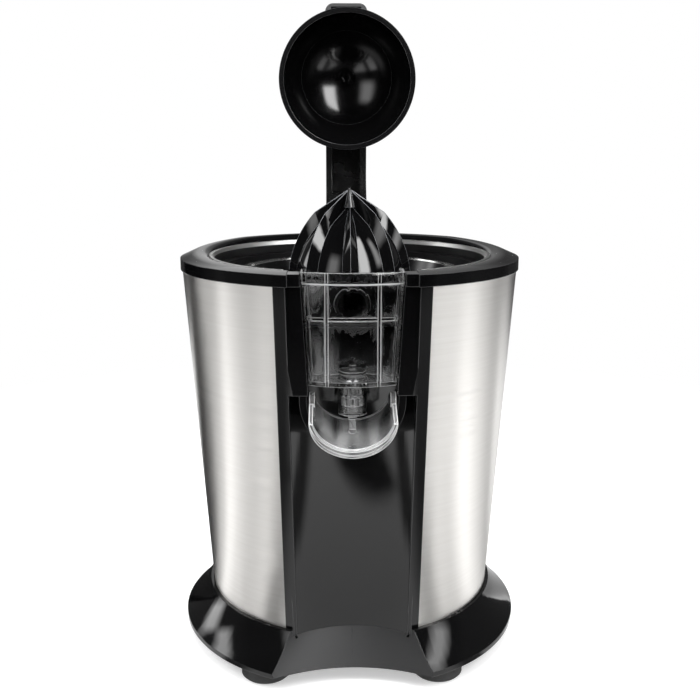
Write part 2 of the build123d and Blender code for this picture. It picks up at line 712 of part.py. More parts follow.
def juice_box():
    hollow = box_body(-BOX_WALL, BOX_FLOOR_Z, BOX_TOP_Z)
    lip = box_body(BOX_LIP_OUT, BOX_TOP_Z - BOX_LIP_H, BOX_TOP_Z)
    shell = box_body(0, BOX_LOW_Z, BOX_TOP_Z) + lip - hollow
    shell -= block(-FAR, FAR, BOX_BACK_Y - BOX_WALL * 2, FAR, BOX_TOP_Z - BOX_BACK_DROP, FAR)
    shelf_z = RIM_EDGE_Z - BOX_SHELF_DEPTH
    shelf = box_body(-BOX_WALL / 2, shelf_z - BOX_SHELF_T, shelf_z)
    shelf -= box_body(-BOX_WALL - BOX_SHELF_IN, shelf_z - BOX_SHELF_T, shelf_z)
    shelf -= block(-FAR, FAR, BOX_SIDE_Y + BOX_RIB_IN, FAR, 0, FAR)
    rib = block(BOX_RIB_X - BOX_RIB_T / 2, BOX_RIB_X + BOX_RIB_T / 2, -FAR, BOX_SIDE_Y + BOX_RIB_IN / 2,
                BOX_FLOOR_Z - BOX_WALL / 2, BOX_TOP_Z - BOX_LIP_H)
    ribs = mirrored_x(rib) & box_body(-BOX_WALL / 2, BOX_LOW_Z, BOX_TOP_Z)
    shell += shelf + ribs
    shell -= rod_y(OUTLET_R + RUN_FIT, BOX_SIDE_Y + BOX_RIB_IN, FAR, 0, RIM_EDGE_Z - OUTLET_DEPTH)
    bore = NOZZLE_R - NOZZLE_WALL
    shell += cyl(NOZZLE_R, NOZZLE_TIP_Z, BOX_FLOOR_Z, 0, NOZZLE_Y)
    shell -= cyl(bore, NOZZLE_TIP_Z, BOX_FLOOR_Z, 0, NOZZLE_Y)
    hub_r = VALVE_STEM_R + RUN_FIT + NOZZLE_WALL
    z0 = NOZZLE_TIP_Z + SPIDER_T
    spider = cyl(hub_r, z0, z0 + SPIDER_T, 0, NOZZLE_Y)
    for i in range(SPIDER_ARMS):
        arm = block(0, bore + NOZZLE_WALL / 2, -BOX_RIB_T / 2, BOX_RIB_T / 2, z0, z0 + SPIDER_T)
        spider += Pos(0, NOZZLE_Y, 0) * Rot(0, 0, SPIDER_TURN + i * 360 / SPIDER_ARMS) * arm
    return shell + spider - cyl(VALVE_STEM_R + RUN_FIT, NOZZLE_TIP_Z, BOX_FLOOR_Z, 0, NOZZLE_Y)


def valve_plug():
    head_top = VALVE_HEAD_Z + VALVE_HEAD_T
    plug = cyl(VALVE_STEM_R, NOZZLE_TIP_Z - VALVE_STEM_OUT, head_top, 0, NOZZLE_Y)
    plug += cyl(VALVE_HEAD_R, VALVE_HEAD_Z, head_top, 0, NOZZLE_Y)
    return plug + cyl(VALVE_NUB_R, head_top, head_top + VALVE_NUB_H, 0, NOZZLE_Y)


def valve_seal():
    bore = VALVE_STEM_R + RUN_FIT
    return tube(VALVE_HEAD_R, bore, VALVE_HEAD_Z - VALVE_SEAL_T, VALVE_HEAD_Z, 0, NOZZLE_Y)


def trough_face(half, sag):
    """Half round section of the spout, on the plane across its axis."""
    return make_face([ThreePointArc((-half, 0), (0, -sag), (half, 0)), Line((half, 0), (-half, 0))])


def drip_spout():
    hollow = trough_face(SPOUT_HALF_W - SPOUT_WALL, SPOUT_SAG - SPOUT_WALL)
    body = extrude(trough_face(SPOUT_HALF_W, SPOUT_SAG), SPOUT_FRONT + SPOUT_BACK)
    body -= extrude(hollow, SPOUT_FRONT + SPOUT_BACK)
    lip = extrude(trough_face(SPOUT_HALF_W, SPOUT_SAG + SPOUT_LIP_T), SPOUT_LIP_L)
    lip -= extrude(hollow, SPOUT_LIP_L)
    shape = body + Pos(0, 0, SPOUT_FRONT + SPOUT_BACK - SPOUT_LIP_L) * lip
    shape = Pos(0, 0, -SPOUT_BACK) * shape
    placed = Pos(0, SPOUT_PIVOT_Y, SPOUT_PIVOT_Z) * Rot(90 + SPOUT_TILT, 0, 0) * shape
    ear_in = SPOUT_HALF_W - SPOUT_WALL - SPOUT_EAR_PAD
    ear = rod_x(SPOUT_EAR_R, ear_in, SPOUT_HALF_W, SPOUT_PIVOT_Y, SPOUT_PIVOT_Z)
    placed += mirrored_x(ear)
    post_top = NOZZLE_TIP_Z - VALVE_STEM_OUT - END_PLAY
    placed += cyl(SPOUT_POST_R, SPOUT_PIVOT_Z - SPOUT_SAG + SPOUT_WALL / 2, post_top, 0, NOZZLE_Y)
    return placed - rod_x(SPOUT_PIN_R + RUN_FIT, -FAR / 2, FAR / 2, SPOUT_PIVOT_Y, SPOUT_PIVOT_Z)


def spout_pins():
    head_in = SPOUT_HALF_W - SPOUT_WALL - SPOUT_EAR_PAD
    tip = SPOUT_HALF_W + COLLAR_GAP + COLLAR_WALL
    head = rod_x(SPOUT_PIN_HEAD_R, head_in - SPOUT_PIN_HEAD_T, head_in, SPOUT_PIVOT_Y, SPOUT_PIVOT_Z)
    pin = head + rod_x(SPOUT_PIN_R, head_in, tip, SPOUT_PIVOT_Y, SPOUT_PIVOT_Z)
    return separate([pin, mirror(pin, Plane.YZ)])


# Cone and drive


def cone_edges(inset, turn):
    """Half section of the cone, set in by a depth, at an angle round the axis from the front."""
    tip = RIM_EDGE_Z + CONE_TIP_RISE - inset * CONE_TIP_DROP
    base_r = CONE_R - inset
    base_z = RIM_EDGE_Z - CONE_BASE_DEPTH
    tall = tip - base_z
    side = math.radians(turn)

    def at(r, z):
        return (math.sin(side) * r, -math.cos(side) * r, z)

    base = at(base_r, base_z)
    knee = at(base_r * CONE_KNEE_R, tip - tall * CONE_KNEE_DROP)
    waist = at(base_r * CONE_WAIST_R, tip - tall * CONE_WAIST_DROP)
    return [
        Line(at(0, tip), knee),
        ThreePointArc(knee, waist, base),
        Line(base, at(0, base_z)),
        Line(at(0, base_z), at(0, tip)),
    ]


def cone_rib():
    """One rib at the front, with flanks that run from a sharp ridge down to the core."""
    ridge = cone_edges(0, 0)
    faces = []
    feet = []
    for turn in (-CONE_RIB_TURN, CONE_RIB_TURN):
        root = cone_edges(CONE_GROOVE + CONE_RIB_ROOT, turn)
        faces.append(make_face(root).face())
        for outer, inner in zip(ridge[:2], root[:2]):
            faces.append(Face.make_surface_from_curves(outer.edge(), inner.edge()))
        feet.append(root[1] @ 1)
    floor = Polyline([ridge[3] @ 0, feet[0], ridge[1] @ 1, feet[1]], close=True)
    faces.append(make_face(floor).face())
    return Solid(Shell(faces))


def cone_body(inset):
    """Round body of the cone, set in by a depth."""
    return revolve(make_face(cone_edges(inset, 0)), Axis.Z)


def juicing_cone():
    tip = RIM_EDGE_Z + CONE_TIP_RISE
    neck = [
        (0, tip - CONE_NECK_DROP), (CONE_NECK_R, tip - CONE_NECK_DROP),
        (CONE_POINT_R, tip + CONE_POINT_RISE), (0, tip + CONE_POINT_RISE),
    ]
    body = cone_body(CONE_GROOVE) + turned(neck)
    rib = cone_rib()
    for i in range(CONE_RIBS):
        body += Rot(0, 0, i * 360 / CONE_RIBS) * rib
    hub_z = RIM_EDGE_Z - CHIMNEY_TOP_DEPTH + END_PLAY + PRESS_STROKE
    body -= cone_body(CONE_GROOVE + CONE_WALL) - cyl(CONE_HUB_R, hub_z, FAR)
    return body - hex_prism(SHAFT_HEX + RUN_FIT * 2, 0, RIM_EDGE_Z + SHAFT_TOP_RISE)


def hex_prism(across, z0, z1):
    """Upright hexagon by its width across flats."""
    return Pos(0, 0, z0) * extrude(RegularPolygon(across / 2, 6, major_radius=False), z1 - z0)


def drive_shaft():
    low = DECK_Z
    shaft = hex_prism(SHAFT_HEX, low, COLLAR_TOP_Z)
    shaft += cyl(SHOULDER_R, COLLAR_TOP_Z, COLLAR_TOP_Z + SHOULDER_T)
    shaft += cyl(SHAFT_R, COLLAR_TOP_Z, RIM_EDGE_Z - CHIMNEY_TOP_DEPTH)
    return shaft + hex_prism(SHAFT_HEX, RIM_EDGE_Z - CHIMNEY_TOP_DEPTH, RIM_EDGE_Z + SHAFT_TOP_RISE)


def shaft_seal():
    out = CHIMNEY_R - CHIMNEY_WALL
    return tube(out, SHAFT_R + RUN_FIT, BOWL_FLOOR_Z, BOWL_FLOOR_Z + SEAL_H)


def thrust_collar():
    bore = SHAFT_HEX / math.sqrt(3) + RUN_FIT
    return tube(COLLAR_R, bore, COLLAR_Z, COLLAR_TOP_Z)


def return_spring():
    length = COLLAR_Z - CASE_TOP_Z
    pitch = (length - SPRING_WIRE_R * 2) / SPRING_TURNS
    path = Helix(pitch, pitch * SPRING_TURNS, SPRING_R)
    section = Plane(origin=path @ 0, z_dir=path % 0) * Circle(SPRING_WIRE_R)
    return Pos(0, 0, CASE_TOP_Z + SPRING_WIRE_R) * sweep(section, path)


def gear_face(teeth, turn):
    """Plan of a spur gear with straight flanks and a small backlash."""
    pitch_r = GEAR_MODULE * teeth / 2
    step = 360 / teeth
    root = pitch_r - TOOTH_DEPTH * GEAR_MODULE
    tip = pitch_r + TOOTH_RISE * GEAR_MODULE
    root_half = step * (TOOTH_SHARE + TOOTH_ROOT_GROW) / 2
    tip_half = step * (TOOTH_SHARE - TOOTH_TIP_SHRINK) / 2
    points = []
    for i in range(teeth):
        mid = turn + i * step
        for r, a in ((root, -root_half), (tip, -tip_half), (tip, tip_half), (root, root_half)):
            angle = math.radians(mid + a)
            points.append((r * math.cos(angle), r * math.sin(angle)))
    return make_face(Polyline(points, close=True))


def output_gear():
    face = gear_face(GEAR_TEETH, 90)
    gear = Pos(0, 0, GEAR_Z) * extrude(face, GEAR_W)
    web_r = GEAR_PITCH_R - GEAR_RIM_T
    recess_h = (GEAR_W - GEAR_WEB_T) / 2
    for z in (GEAR_Z, GEAR_TOP_Z - recess_h):
        gear -= tube(web_r, GEAR_HUB_R, z, z + recess_h)
    gear += cyl(GEAR_JOURNAL_R, DECK_Z, CASE_TOP_Z - END_PLAY)
    gear += cyl(GEAR_HUB_R, GEAR_Z, GEAR_TOP_Z)
    return gear - hex_prism(SHAFT_HEX + RUN_FIT * 2, DECK_Z, CASE_TOP_Z)


def bush(z0, z1, x=0.0, y=0.0, bore=GEAR_JOURNAL_R):
    """Plain bearing bush between two heights."""
    return tube(bore + RUN_FIT + BUSH_T, bore + RUN_FIT, z0, z1, x, y)


def rotor_shaft():
    top = GEAR_TOP_Z + END_PLAY
    shaft = cyl(ROTOR_SHAFT_R, FAN_Z, top, 0, MOTOR_Y)
    turn = 90 + 180 / PINION_TEETH
    pinion = Pos(0, MOTOR_Y, GEAR_Z) * extrude(gear_face(PINION_TEETH, turn), GEAR_W)
    return shaft + pinion


def rotor_core():
    return tube(STATOR_BORE_R - AIR_GAP, ROTOR_SHAFT_R, STATOR_Z, STATOR_TOP_Z, 0, MOTOR_Y)


def cooling_fan():
    hub = tube(ROTOR_SHAFT_R + FAN_HUB_T, ROTOR_SHAFT_R, FAN_Z - FAN_BLADE_H, FAN_TOP_Z, 0, MOTOR_Y)
    hub += cyl(ROTOR_SHAFT_R, FAN_Z - FAN_BLADE_H, FAN_Z, 0, MOTOR_Y)
    disc = tube(FAN_R, ROTOR_SHAFT_R, FAN_Z, FAN_TOP_Z, 0, MOTOR_Y)
    fan = hub + disc
    for i in range(FAN_BLADES):
        blade = block(ROTOR_SHAFT_R + FAN_HUB_T / 2, FAN_R, -FAN_BLADE_T / 2, FAN_BLADE_T / 2,
                      FAN_Z - FAN_BLADE_H, FAN_Z)
        fan += Pos(0, MOTOR_Y, 0) * Rot(0, 0, i * 360 / FAN_BLADES) * blade
    return fan


def stud_places():
    """Four studs that hang the motor under the deck."""
    d = STUD_CIRCLE_R * math.sqrt(0.5)
    return [(sx * d, MOTOR_Y + sy * d) for sx in (-1, 1) for sy in (-1, 1)]


def stator_core():
    core = tube(STATOR_R, STATOR_BORE_R, STATOR_Z, STATOR_TOP_Z, 0, MOTOR_Y)
    for x, y in stud_places():
        core -= cyl(STUD_R + RUN_FIT, STATOR_Z, STATOR_TOP_Z, x, y)
    return core


def stator_windings():
    rings = []
    out = STUD_CIRCLE_R - SPACER_R - WINDING_GAP
    for z in (STATOR_TOP_Z, STATOR_Z - WINDING_H):
        rings.append(tube(out, STATOR_BORE_R + WINDING_BORE_GAP, z, z + WINDING_H, 0, MOTOR_Y))
    return separate(rings)


def motor_bracket():
    plate = cyl(STATOR_R, BRACKET_Z, BRACKET_TOP_Z, 0, MOTOR_Y)
    plate -= cyl(ROTOR_SHAFT_R + RUN_FIT + BUSH_T, BRACKET_Z, BRACKET_TOP_Z, 0, MOTOR_Y)
    for x, y in stud_places():
        plate += cyl(SPACER_R, BRACKET_TOP_Z, STATOR_Z, x, y)
    for x, y in stud_places():
        plate -= cyl(STUD_R + RUN_FIT, BRACKET_Z, STATOR_Z, x, y)
    return plate


def motor_studs():
    studs = []
    for x, y in stud_places():
        spacer = tube(SPACER_R, STUD_R, STATOR_TOP_Z, DECK_Z, x, y)
        stud = cyl(STUD_R, BRACKET_Z, DECK_TOP_Z, x, y) + spacer
        stud += cyl(STUD_HEAD_R, BRACKET_Z - STUD_HEAD_H, BRACKET_Z, x, y)
        studs.append(stud)
    return separate(studs)


# Deck and gear case


def post_places():
    """Four posts that carry the deck."""
    return [(s * x, y) for x, y in (POST_FRONT, POST_REAR) for s in (-1, 1)]


def case_screw_places():
    """Screws that hold the gear case on the deck."""
    r = case_r() + SCREW_HEAD_R + END_PLAY
    return [(r * math.cos(math.radians(a)), r * math.sin(math.radians(a))) for a in CASE_SCREW_ANGLES]


def case_r():
    """Outer radius of the gear case."""
    return GEAR_PITCH_R + GEAR_MODULE + GEAR_ROOM + CASE_WALL


def deck():
    plate = cyl(DECK_R, DECK_Z, DECK_TOP_Z) & block(-FAR, FAR, DECK_FRONT_Y, FAR, 0, FAR)
    plate -= cyl(GEAR_JOURNAL_R + RUN_FIT + BUSH_T, DECK_Z, DECK_TOP_Z)
    plate -= cyl(ROTOR_SHAFT_R + RUN_FIT + BUSH_T, DECK_Z, DECK_TOP_Z, 0, MOTOR_Y)
    for x, y in stud_places():
        plate -= cyl(STUD_R + RUN_FIT, DECK_Z, DECK_TOP_Z, x, y)
    for x, y in post_places() + case_screw_places():
        plate -= cyl(SCREW_R + RUN_FIT, DECK_Z, DECK_TOP_Z, x, y)
    return plate


def deck_posts():
    posts = []
    for x, y in post_places():
        posts.append(tube(POST_R, SCREW_R + RUN_FIT, PLATE_TOP_Z, DECK_Z, x, y))
    return separate(posts)


def deck_screws():
    screws = [screw_down(x, y, DECK_TOP_Z, DECK_SCREW_L) for x, y in post_places()]
    for x, y in post_places():
        screws.append(cyl(SCREW_R, PLATE_Z, PLATE_Z + DECK_SCREW_L, x, y))
    return separate(screws)


def gear_case():
    r = case_r()
    outer = cyl(r, DECK_TOP_Z, CASE_TOP_Z)
    inner = cyl(r - CASE_WALL, DECK_TOP_Z, CASE_ROOF_Z)
    pinion_room = PINION_PITCH_R + GEAR_MODULE + GEAR_ROOM
    outer += cyl(pinion_room + CASE_WALL, DECK_TOP_Z, CASE_TOP_Z, 0, MOTOR_Y)
    inner += cyl(pinion_room, DECK_TOP_Z, CASE_ROOF_Z, 0, MOTOR_Y)
    case = outer - inner
    for x, y in case_screw_places():
        case += cyl(SCREW_HEAD_R + CASE_WALL / 2, DECK_TOP_Z, DECK_TOP_Z + CASE_EAR_T, x, y) - inner
    for x, y in case_screw_places():
        case -= cyl(SCREW_R + RUN_FIT, DECK_TOP_Z, DECK_TOP_Z + CASE_EAR_T, x, y)
    return case - cyl(GEAR_JOURNAL_R + RUN_FIT + BUSH_T, CASE_ROOF_Z, CASE_TOP_Z)


def case_screws():
    seat = DECK_TOP_Z + CASE_EAR_T
    return separate([screw_down(x, y, seat, CASE_SCREW_L) for x, y in case_screw_places()])


def microswitch():
    x0 = COLLAR_R + SWITCH_GAP
    body = block(x0, x0 + SWITCH_L, -SWITCH_W / 2, SWITCH_W / 2, CASE_TOP_Z, CASE_TOP_Z + SWITCH_H)
    leaf_z = CASE_TOP_Z + LEAF_RISE
    leaf = block(SPRING_R + SPRING_WIRE_R + END_PLAY, x0 + SWITCH_L / 2, -LEAF_W / 2, LEAF_W / 2,
                 leaf_z, leaf_z + LEAF_T)
    return body + leaf


# Lever


def arm_outline():
    """Side outline of the arm, lowered, from the hinge over the cone to the grip."""
    under = ARM_UNDER_Z
    top = ARM_TOP_Z
    bend = ARM_BEND_R * (1 - math.sqrt(0.5))
    neck = (ELBOW_Y + ARM_BEND_R, under - ARM_BEND_R)
    neck_mid = (neck[0] - bend, under - bend)
    shoulder = (ELBOW_Y, under)
    end_low = (ARM_END_Y, under + ARM_END_RISE)
    end_mid = (ARM_END_Y, top - ARM_END_ROUND)
    end_cut = ARM_END_ROUND * (1 - math.sqrt(0.5))
    end_arc = (ARM_END_Y + end_cut, top - end_cut)
    end_top = (ARM_END_Y + ARM_END_ROUND, top)
    crown = (ELBOW_Y, top)
    back_up = (HINGE_Y + BARREL_R - ARM_HEEL_IN, HINGE_Z + ARM_HEEL_RISE)
    crown_y = ELBOW_Y + (back_up[0] - ELBOW_Y) * ARM_CROWN_OUT
    crown_mid = (crown_y, top - (top - back_up[1]) * ARM_CROWN_DROP)
    back = (HINGE_Y + BARREL_R, HINGE_Z)
    front = (HINGE_Y - BARREL_R, HINGE_Z)
    return Curve() + [
        Line(front, neck),
        ThreePointArc(neck, neck_mid, shoulder),
        Line(shoulder, end_low),
        Line(end_low, end_mid),
        ThreePointArc(end_mid, end_arc, end_top),
        Line(end_top, crown),
        ThreePointArc(crown, crown_mid, back_up),
        Line(back_up, back),
        Line(back, front),
    ]


def arm_channel():
    """Side outline of the hollow in the arm's underside, lowered."""
    front = ARM_END_Y + ARM_END_WALL
    end_y = ELBOW_Y + CHANNEL_REACH
    return Polyline([
        (front, ARM_UNDER_Z - ARM_DEPTH), (front, ARM_ROOF_Z), (ELBOW_Y, ARM_ROOF_Z),
        (end_y, ARM_ROOF_Z - CHANNEL_DIP), (end_y, ARM_UNDER_Z - CHANNEL_HEEL),
        (ELBOW_Y, ARM_UNDER_Z - ARM_BEND_R),
    ], close=True)


def raised(shape):
    """The lever piece turned up about the hinge to its rest position."""
    return shape.rotate(Axis((0, HINGE_Y, HINGE_Z), (1, 0, 0)), -RAISE_ANGLE)


def lever_arm():
    half = ARM_W / 2
    plan = Pos(0, ARM_END_Y + FAR / 2) * RectangleRounded(ARM_W, FAR, ARM_END_CORNER)
    arm = side_profile(arm_outline(), -half, half) & extrude(plan, FAR)
    arm += rod_x(BARREL_R, -half, half, HINGE_Y, HINGE_Z)
    channel = side_profile(arm_channel(), -half + ARM_WALL, half - ARM_WALL)
    rib_half = ARM_RIB_W / 2
    rib = block(-rib_half, rib_half, DOME_BOSS_R + END_PLAY, FAR, ARM_ROOF_Z - ARM_RIB_H, FAR) & arm
    arm = arm - channel + rib
    arm -= cyl(DOME_SCREW_R + RUN_FIT, ARM_UNDER_Z, ARM_ROOF_Z + DOME_SCREW_HOLE)
    return raised(arm - rod_x(PIN_R + RUN_FIT + BUSH_T, -half, half, HINGE_Y, HINGE_Z))


def hinge_bush():
    half = ARM_W / 2
    bore = rod_x(PIN_R + RUN_FIT, -half, half, HINGE_Y, HINGE_Z)
    return raised(rod_x(PIN_R + RUN_FIT + BUSH_T, -half, half, HINGE_Y, HINGE_Z) - bore)


def press_dome():
    z0 = RIM_EDGE_Z + DOME_OPEN_RISE
    ball = Pos(0, 0, z0) * Sphere(DOME_R) & cyl(DOME_R, z0, FAR)
    hollow_r = DOME_R - DOME_WALL
    hollow = Pos(0, 0, z0) * Sphere(hollow_r) & cyl(hollow_r, z0, FAR)
    cap = Pos(0, 0, z0) * Sphere(hollow_r + DOME_STEP) & cyl(DOME_STEP_R, z0, FAR)
    boss = cyl(DOME_BOSS_R, z0 + DOME_R - DOME_WALL, ARM_ROOF_Z)
    dome = ball + boss - hollow - cap
    return raised(dome - cyl(DOME_SCREW_R + RUN_FIT, z0, FAR))


def dome_screw():
    apex = RIM_EDGE_Z + DOME_OPEN_RISE + DOME_R - DOME_WALL + DOME_STEP
    seat = apex - DOME_SCREW_HEAD_R ** 2 / (2 * (DOME_R - DOME_WALL)) - END_PLAY
    screw = cyl(DOME_SCREW_R, seat, ARM_ROOF_Z + DOME_SCREW_BITE)
    head = cyl(DOME_SCREW_HEAD_R, seat - DOME_SCREW_HEAD_H, seat)
    socket = extrude(RegularPolygon(DOME_SCREW_R, 6), DOME_SCREW_HEAD_H / 2)
    return raised(screw + head - Pos(0, 0, seat - DOME_SCREW_HEAD_H) * socket)


def bracket_screw_places():
    """Screws that hold the hinge bracket down on the rim."""
    x = ARM_W / 2 + EAR_GAP + EAR_W / 2
    y = HINGE_Y - EAR_FOOT_FRONT + EAR_SCREW_INSET
    return [(-x, y), (x, y)]


def hinge_bracket():
    half = BRACKET_HALF
    low = RIM_EDGE_Z - EAR_FOOT_DEPTH
    foot_block = block(-half, half, HINGE_Y - EAR_FOOT_FRONT, HINGE_Y + EAR_FOOT_BACK, low, low + EAR_FOOT_T)
    ear = block(half - EAR_W, half, HINGE_Y - EAR_R, HINGE_Y + EAR_R, low, HINGE_Z)
    ear += rod_x(EAR_R, half - EAR_W, half, HINGE_Y, HINGE_Z)
    bracket = foot_block + mirrored_x(ear)
    bracket -= rod_x(PIN_R, -half, half, HINGE_Y, HINGE_Z)
    for x, y in bracket_screw_places():
        bracket -= cyl(SCREW_R + RUN_FIT, low, low + EAR_FOOT_T, x, y)
    return bracket


def hinge_pin():
    return rod_x(PIN_R, -BRACKET_HALF, BRACKET_HALF, HINGE_Y, HINGE_Z)


def bracket_screws():
    low = RIM_EDGE_Z - EAR_FOOT_DEPTH - RIM_WALL
    screws = []
    for x, y in bracket_screw_places():
        head = cyl(SCREW_HEAD_R, low - SCREW_HEAD_H, low, x, y)
        screws.append(head + cyl(SCREW_R, low, low + RIM_WALL + EAR_FOOT_T, x, y))
    return separate(screws)


def all_parts():
    """Every piece with its name."""
    parts = {name: foot(x, y) for name, x, y in foot_places()}
    parts.update({
        "base_skirt": base_skirt(),
        "base_plate": base_plate(),
        "foot_screws": foot_screws(),
        "cord_grommet": cord_grommet(),
        "steel_wrap": steel_wrap(),
        "front_panel": front_panel(),
        "top_rim": top_rim(),
        "rim_trim_ring": rim_trim_ring(),
        "juice_bowl": juice_bowl(),
        "strainer": strainer(),
        "juice_box": juice_box(),
        "valve_plug": valve_plug(),
        "valve_seal": valve_seal(),
        "drip_spout": drip_spout(),
        "spout_pins": spout_pins(),
        "juicing_cone": juicing_cone(),
        "drive_shaft": drive_shaft(),
        "shaft_seal": shaft_seal(),
        "thrust_collar": thrust_collar(),
        "return_spring": return_spring(),
        "output_gear": output_gear(),
        "output_bush_low": bush(DECK_Z, DECK_TOP_Z),
        "output_bush_top": bush(CASE_ROOF_Z, CASE_TOP_Z),
        "rotor_shaft": rotor_shaft(),
        "rotor_core": rotor_core(),
        "cooling_fan": cooling_fan(),
        "rotor_bush_top": bush(DECK_Z, DECK_TOP_Z, 0, MOTOR_Y, ROTOR_SHAFT_R),
        "rotor_bush_low": bush(BRACKET_Z, BRACKET_TOP_Z, 0, MOTOR_Y, ROTOR_SHAFT_R),
        "stator_core": stator_core(),
        "stator_windings": stator_windings(),
        "motor_bracket": motor_bracket(),
        "motor_studs": motor_studs(),
        "deck": deck(),
        "deck_posts": deck_posts(),
        "deck_screws": deck_screws(),
        "gear_case": gear_case(),
        "case_screws": case_screws(),
        "microswitch": microswitch(),
        "hinge_bracket": hinge_bracket(),
        "hinge_pin": hinge_pin(),
        "bracket_screws": bracket_screws(),
        "lever_arm": lever_arm(),
        "hinge_bush": hinge_bush(),
        "press_dome": press_dome(),
        "dome_screw": dome_screw(),
    })
    return parts


def main():
    os.makedirs("parts", exist_ok=True)
    parts = all_parts()
    boxes = [shape.bounding_box() for shape in parts.values()]
    middle = (min(box.min.Y for box in boxes) + max(box.max.Y for box in boxes)) / 2
    print(f"drum axis at Y = {-middle:.4f}")
    for name, shape in parts.items():
        export_step(Pos(0, -middle, 0) * shape, f"parts/{name}.step")


main()
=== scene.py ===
"""Looks of the countertop lever citrus juicer: materials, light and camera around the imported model."""
import json
import math
import bmesh
import bpy
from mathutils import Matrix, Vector


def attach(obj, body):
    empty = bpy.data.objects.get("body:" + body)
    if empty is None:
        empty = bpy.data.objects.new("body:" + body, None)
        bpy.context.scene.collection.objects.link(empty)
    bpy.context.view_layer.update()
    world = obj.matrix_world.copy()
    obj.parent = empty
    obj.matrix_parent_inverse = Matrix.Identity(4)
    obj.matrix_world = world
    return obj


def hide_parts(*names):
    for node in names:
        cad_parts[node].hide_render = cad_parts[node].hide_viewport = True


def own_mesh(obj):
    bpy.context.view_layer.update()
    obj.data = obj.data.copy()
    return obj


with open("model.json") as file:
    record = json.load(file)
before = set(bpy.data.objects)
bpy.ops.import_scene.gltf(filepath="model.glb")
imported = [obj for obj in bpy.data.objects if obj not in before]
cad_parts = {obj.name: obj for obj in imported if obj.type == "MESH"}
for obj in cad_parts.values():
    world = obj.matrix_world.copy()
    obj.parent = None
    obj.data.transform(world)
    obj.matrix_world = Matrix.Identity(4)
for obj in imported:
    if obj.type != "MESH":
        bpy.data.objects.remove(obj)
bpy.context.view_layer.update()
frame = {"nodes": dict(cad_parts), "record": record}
NODES = frame["nodes"]

# Places on the part in metres, with depths taken from the drum's axis
AXIS_Y = -0.0242273
DRUM_R = 0.105
STRAINER_EDGE_Z = 0.2468
TRIM_EDGE_Z = 0.2554
STEEL_EDGE_FADE = 0.0002
SKIRT_FRONT_Y = -0.06
DOME_MIDDLE = (0.0, AXIS_Y + 0.0825, 0.3729)
DOME_INWARD = (0.0, 0.9936, 0.1132)
DOME_LIP = (0.0463, 0.0490)
DOME_LIP_DEPTH = 0.001
ARM_END_Z = 0.424
ARM_END_FADE = 0.004

# Painted highlight lines on the juice box's front wall, over the edges of its two ribs
RIB_X = 0.0147
RIB_EDGE = 0.0008
RIB_LINE = 0.00012
RIB_FRONT_Y = -0.0955
RIB_LOW_Z = 0.192

# Rim, whose crest falls from the rear to the front
RIM_EDGE_Z = 0.256
RIM_LOW_Y = -0.085
RIM_HIGH_Y = 0.065
RIM_LEAST = 0.1
SHARP_ANGLE = 25.0

# Meshes with joined corners
WELD_DISTANCE = 1e-6
FLAT_ANGLE = 0.5

# Rounded edges, and painted highlights along the edges of black and clear plastic; a turn is the cosine
# between the rounded and the plain normal
EDGE_R = 0.0006
EDGE_SAMPLES = 6
CONE_EDGE_R = 0.0004
CLEAR_EDGE_R = 0.0003
CLEAR_EDGE_STEPS = 2
CLEAR_EDGE_ANGLE = 35.0
LINE_SAMPLES = 8
OPEN_FACE_TURN = 0.985
CLEAR_HIGHLIGHT_TURN = 0.82
BOX_HIGHLIGHT_R = 0.0009
SPOUT_HIGHLIGHT_R = 0.0014
HIGHLIGHT_EDGE_TURN = 0.9
HIGHLIGHT_EDGE_R = 0.0004

# Colours
WHITE = (1.0, 1.0, 1.0)
NO_LIGHT = (0.0, 0.0, 0.0)
BLACK = (0.002, 0.002, 0.0022)
MIDDLE_BLACK = (0.003, 0.003, 0.0032)
SOFT_BLACK = (0.004, 0.004, 0.0043)
HOLLOW_DARK = (0.013, 0.013, 0.0135)
HOLLOW_LIGHT = (0.018, 0.018, 0.0185)
LIP_BLACK = (0.01, 0.01, 0.0105)
ARM_BLACK = (0.011, 0.011, 0.0112)
# Painted sheen that makes the arm's end lighter
ARM_END_PAINTED_SHEEN = (0.12, 0.12, 0.121)
# Painted edge highlights: paler colours along the edges of gloss, cone and dome plastics
GLOSS_EDGE_HIGHLIGHT = (0.09, 0.09, 0.092)
CONE_EDGE_HIGHLIGHT = (0.3, 0.31, 0.33)
DOME_EDGE_HIGHLIGHT = (0.15, 0.15, 0.155)
EDGE_STEEL = (0.7, 0.7, 0.69)
DRUM_DARK = (0.66, 0.64, 0.61)
DRUM_LIGHT = (0.86, 0.85, 0.83)
CLEAR_TINT = (0.97, 0.975, 0.98)

# Usual detail and span of a noise value
NOISE_DETAIL = 3.0
NOISE_LOW = 0.3
NOISE_HIGH = 0.7

# Plastics and rubbers: dark and light colour, roughness, scale and strength of the grain
PLASTICS = {
    "gloss_black": (BLACK, SOFT_BLACK, (0.07, 0.12), 700.0, 0.015),
    "cone_black": (BLACK, SOFT_BLACK, (0.04, 0.07), 600.0, 0.01),
    "bowl_black": (BLACK, SOFT_BLACK, (0.5, 0.6), 800.0, 0.03),
    "inner_plastic": ((0.09, 0.09, 0.095), (0.15, 0.15, 0.155), (0.45, 0.6), 1500.0, 0.15),
    "gear_plastic": ((0.7, 0.68, 0.62), (0.82, 0.81, 0.76), (0.4, 0.5), 900.0, 0.05),
    "foot_rubber": ((0.012, 0.012, 0.012), (0.026, 0.026, 0.026), (0.6, 0.8), 1400.0, 0.25),
    "seal_rubber": ((0.12, 0.12, 0.12), (0.2, 0.2, 0.2), (0.55, 0.7), 1200.0, 0.2),
}
CLOUD_SCALE = 35.0
GLOSS_SCALE = 90.0
GRAIN_DEPTH = 0.0002
BOWL_SPECULAR = 0.1

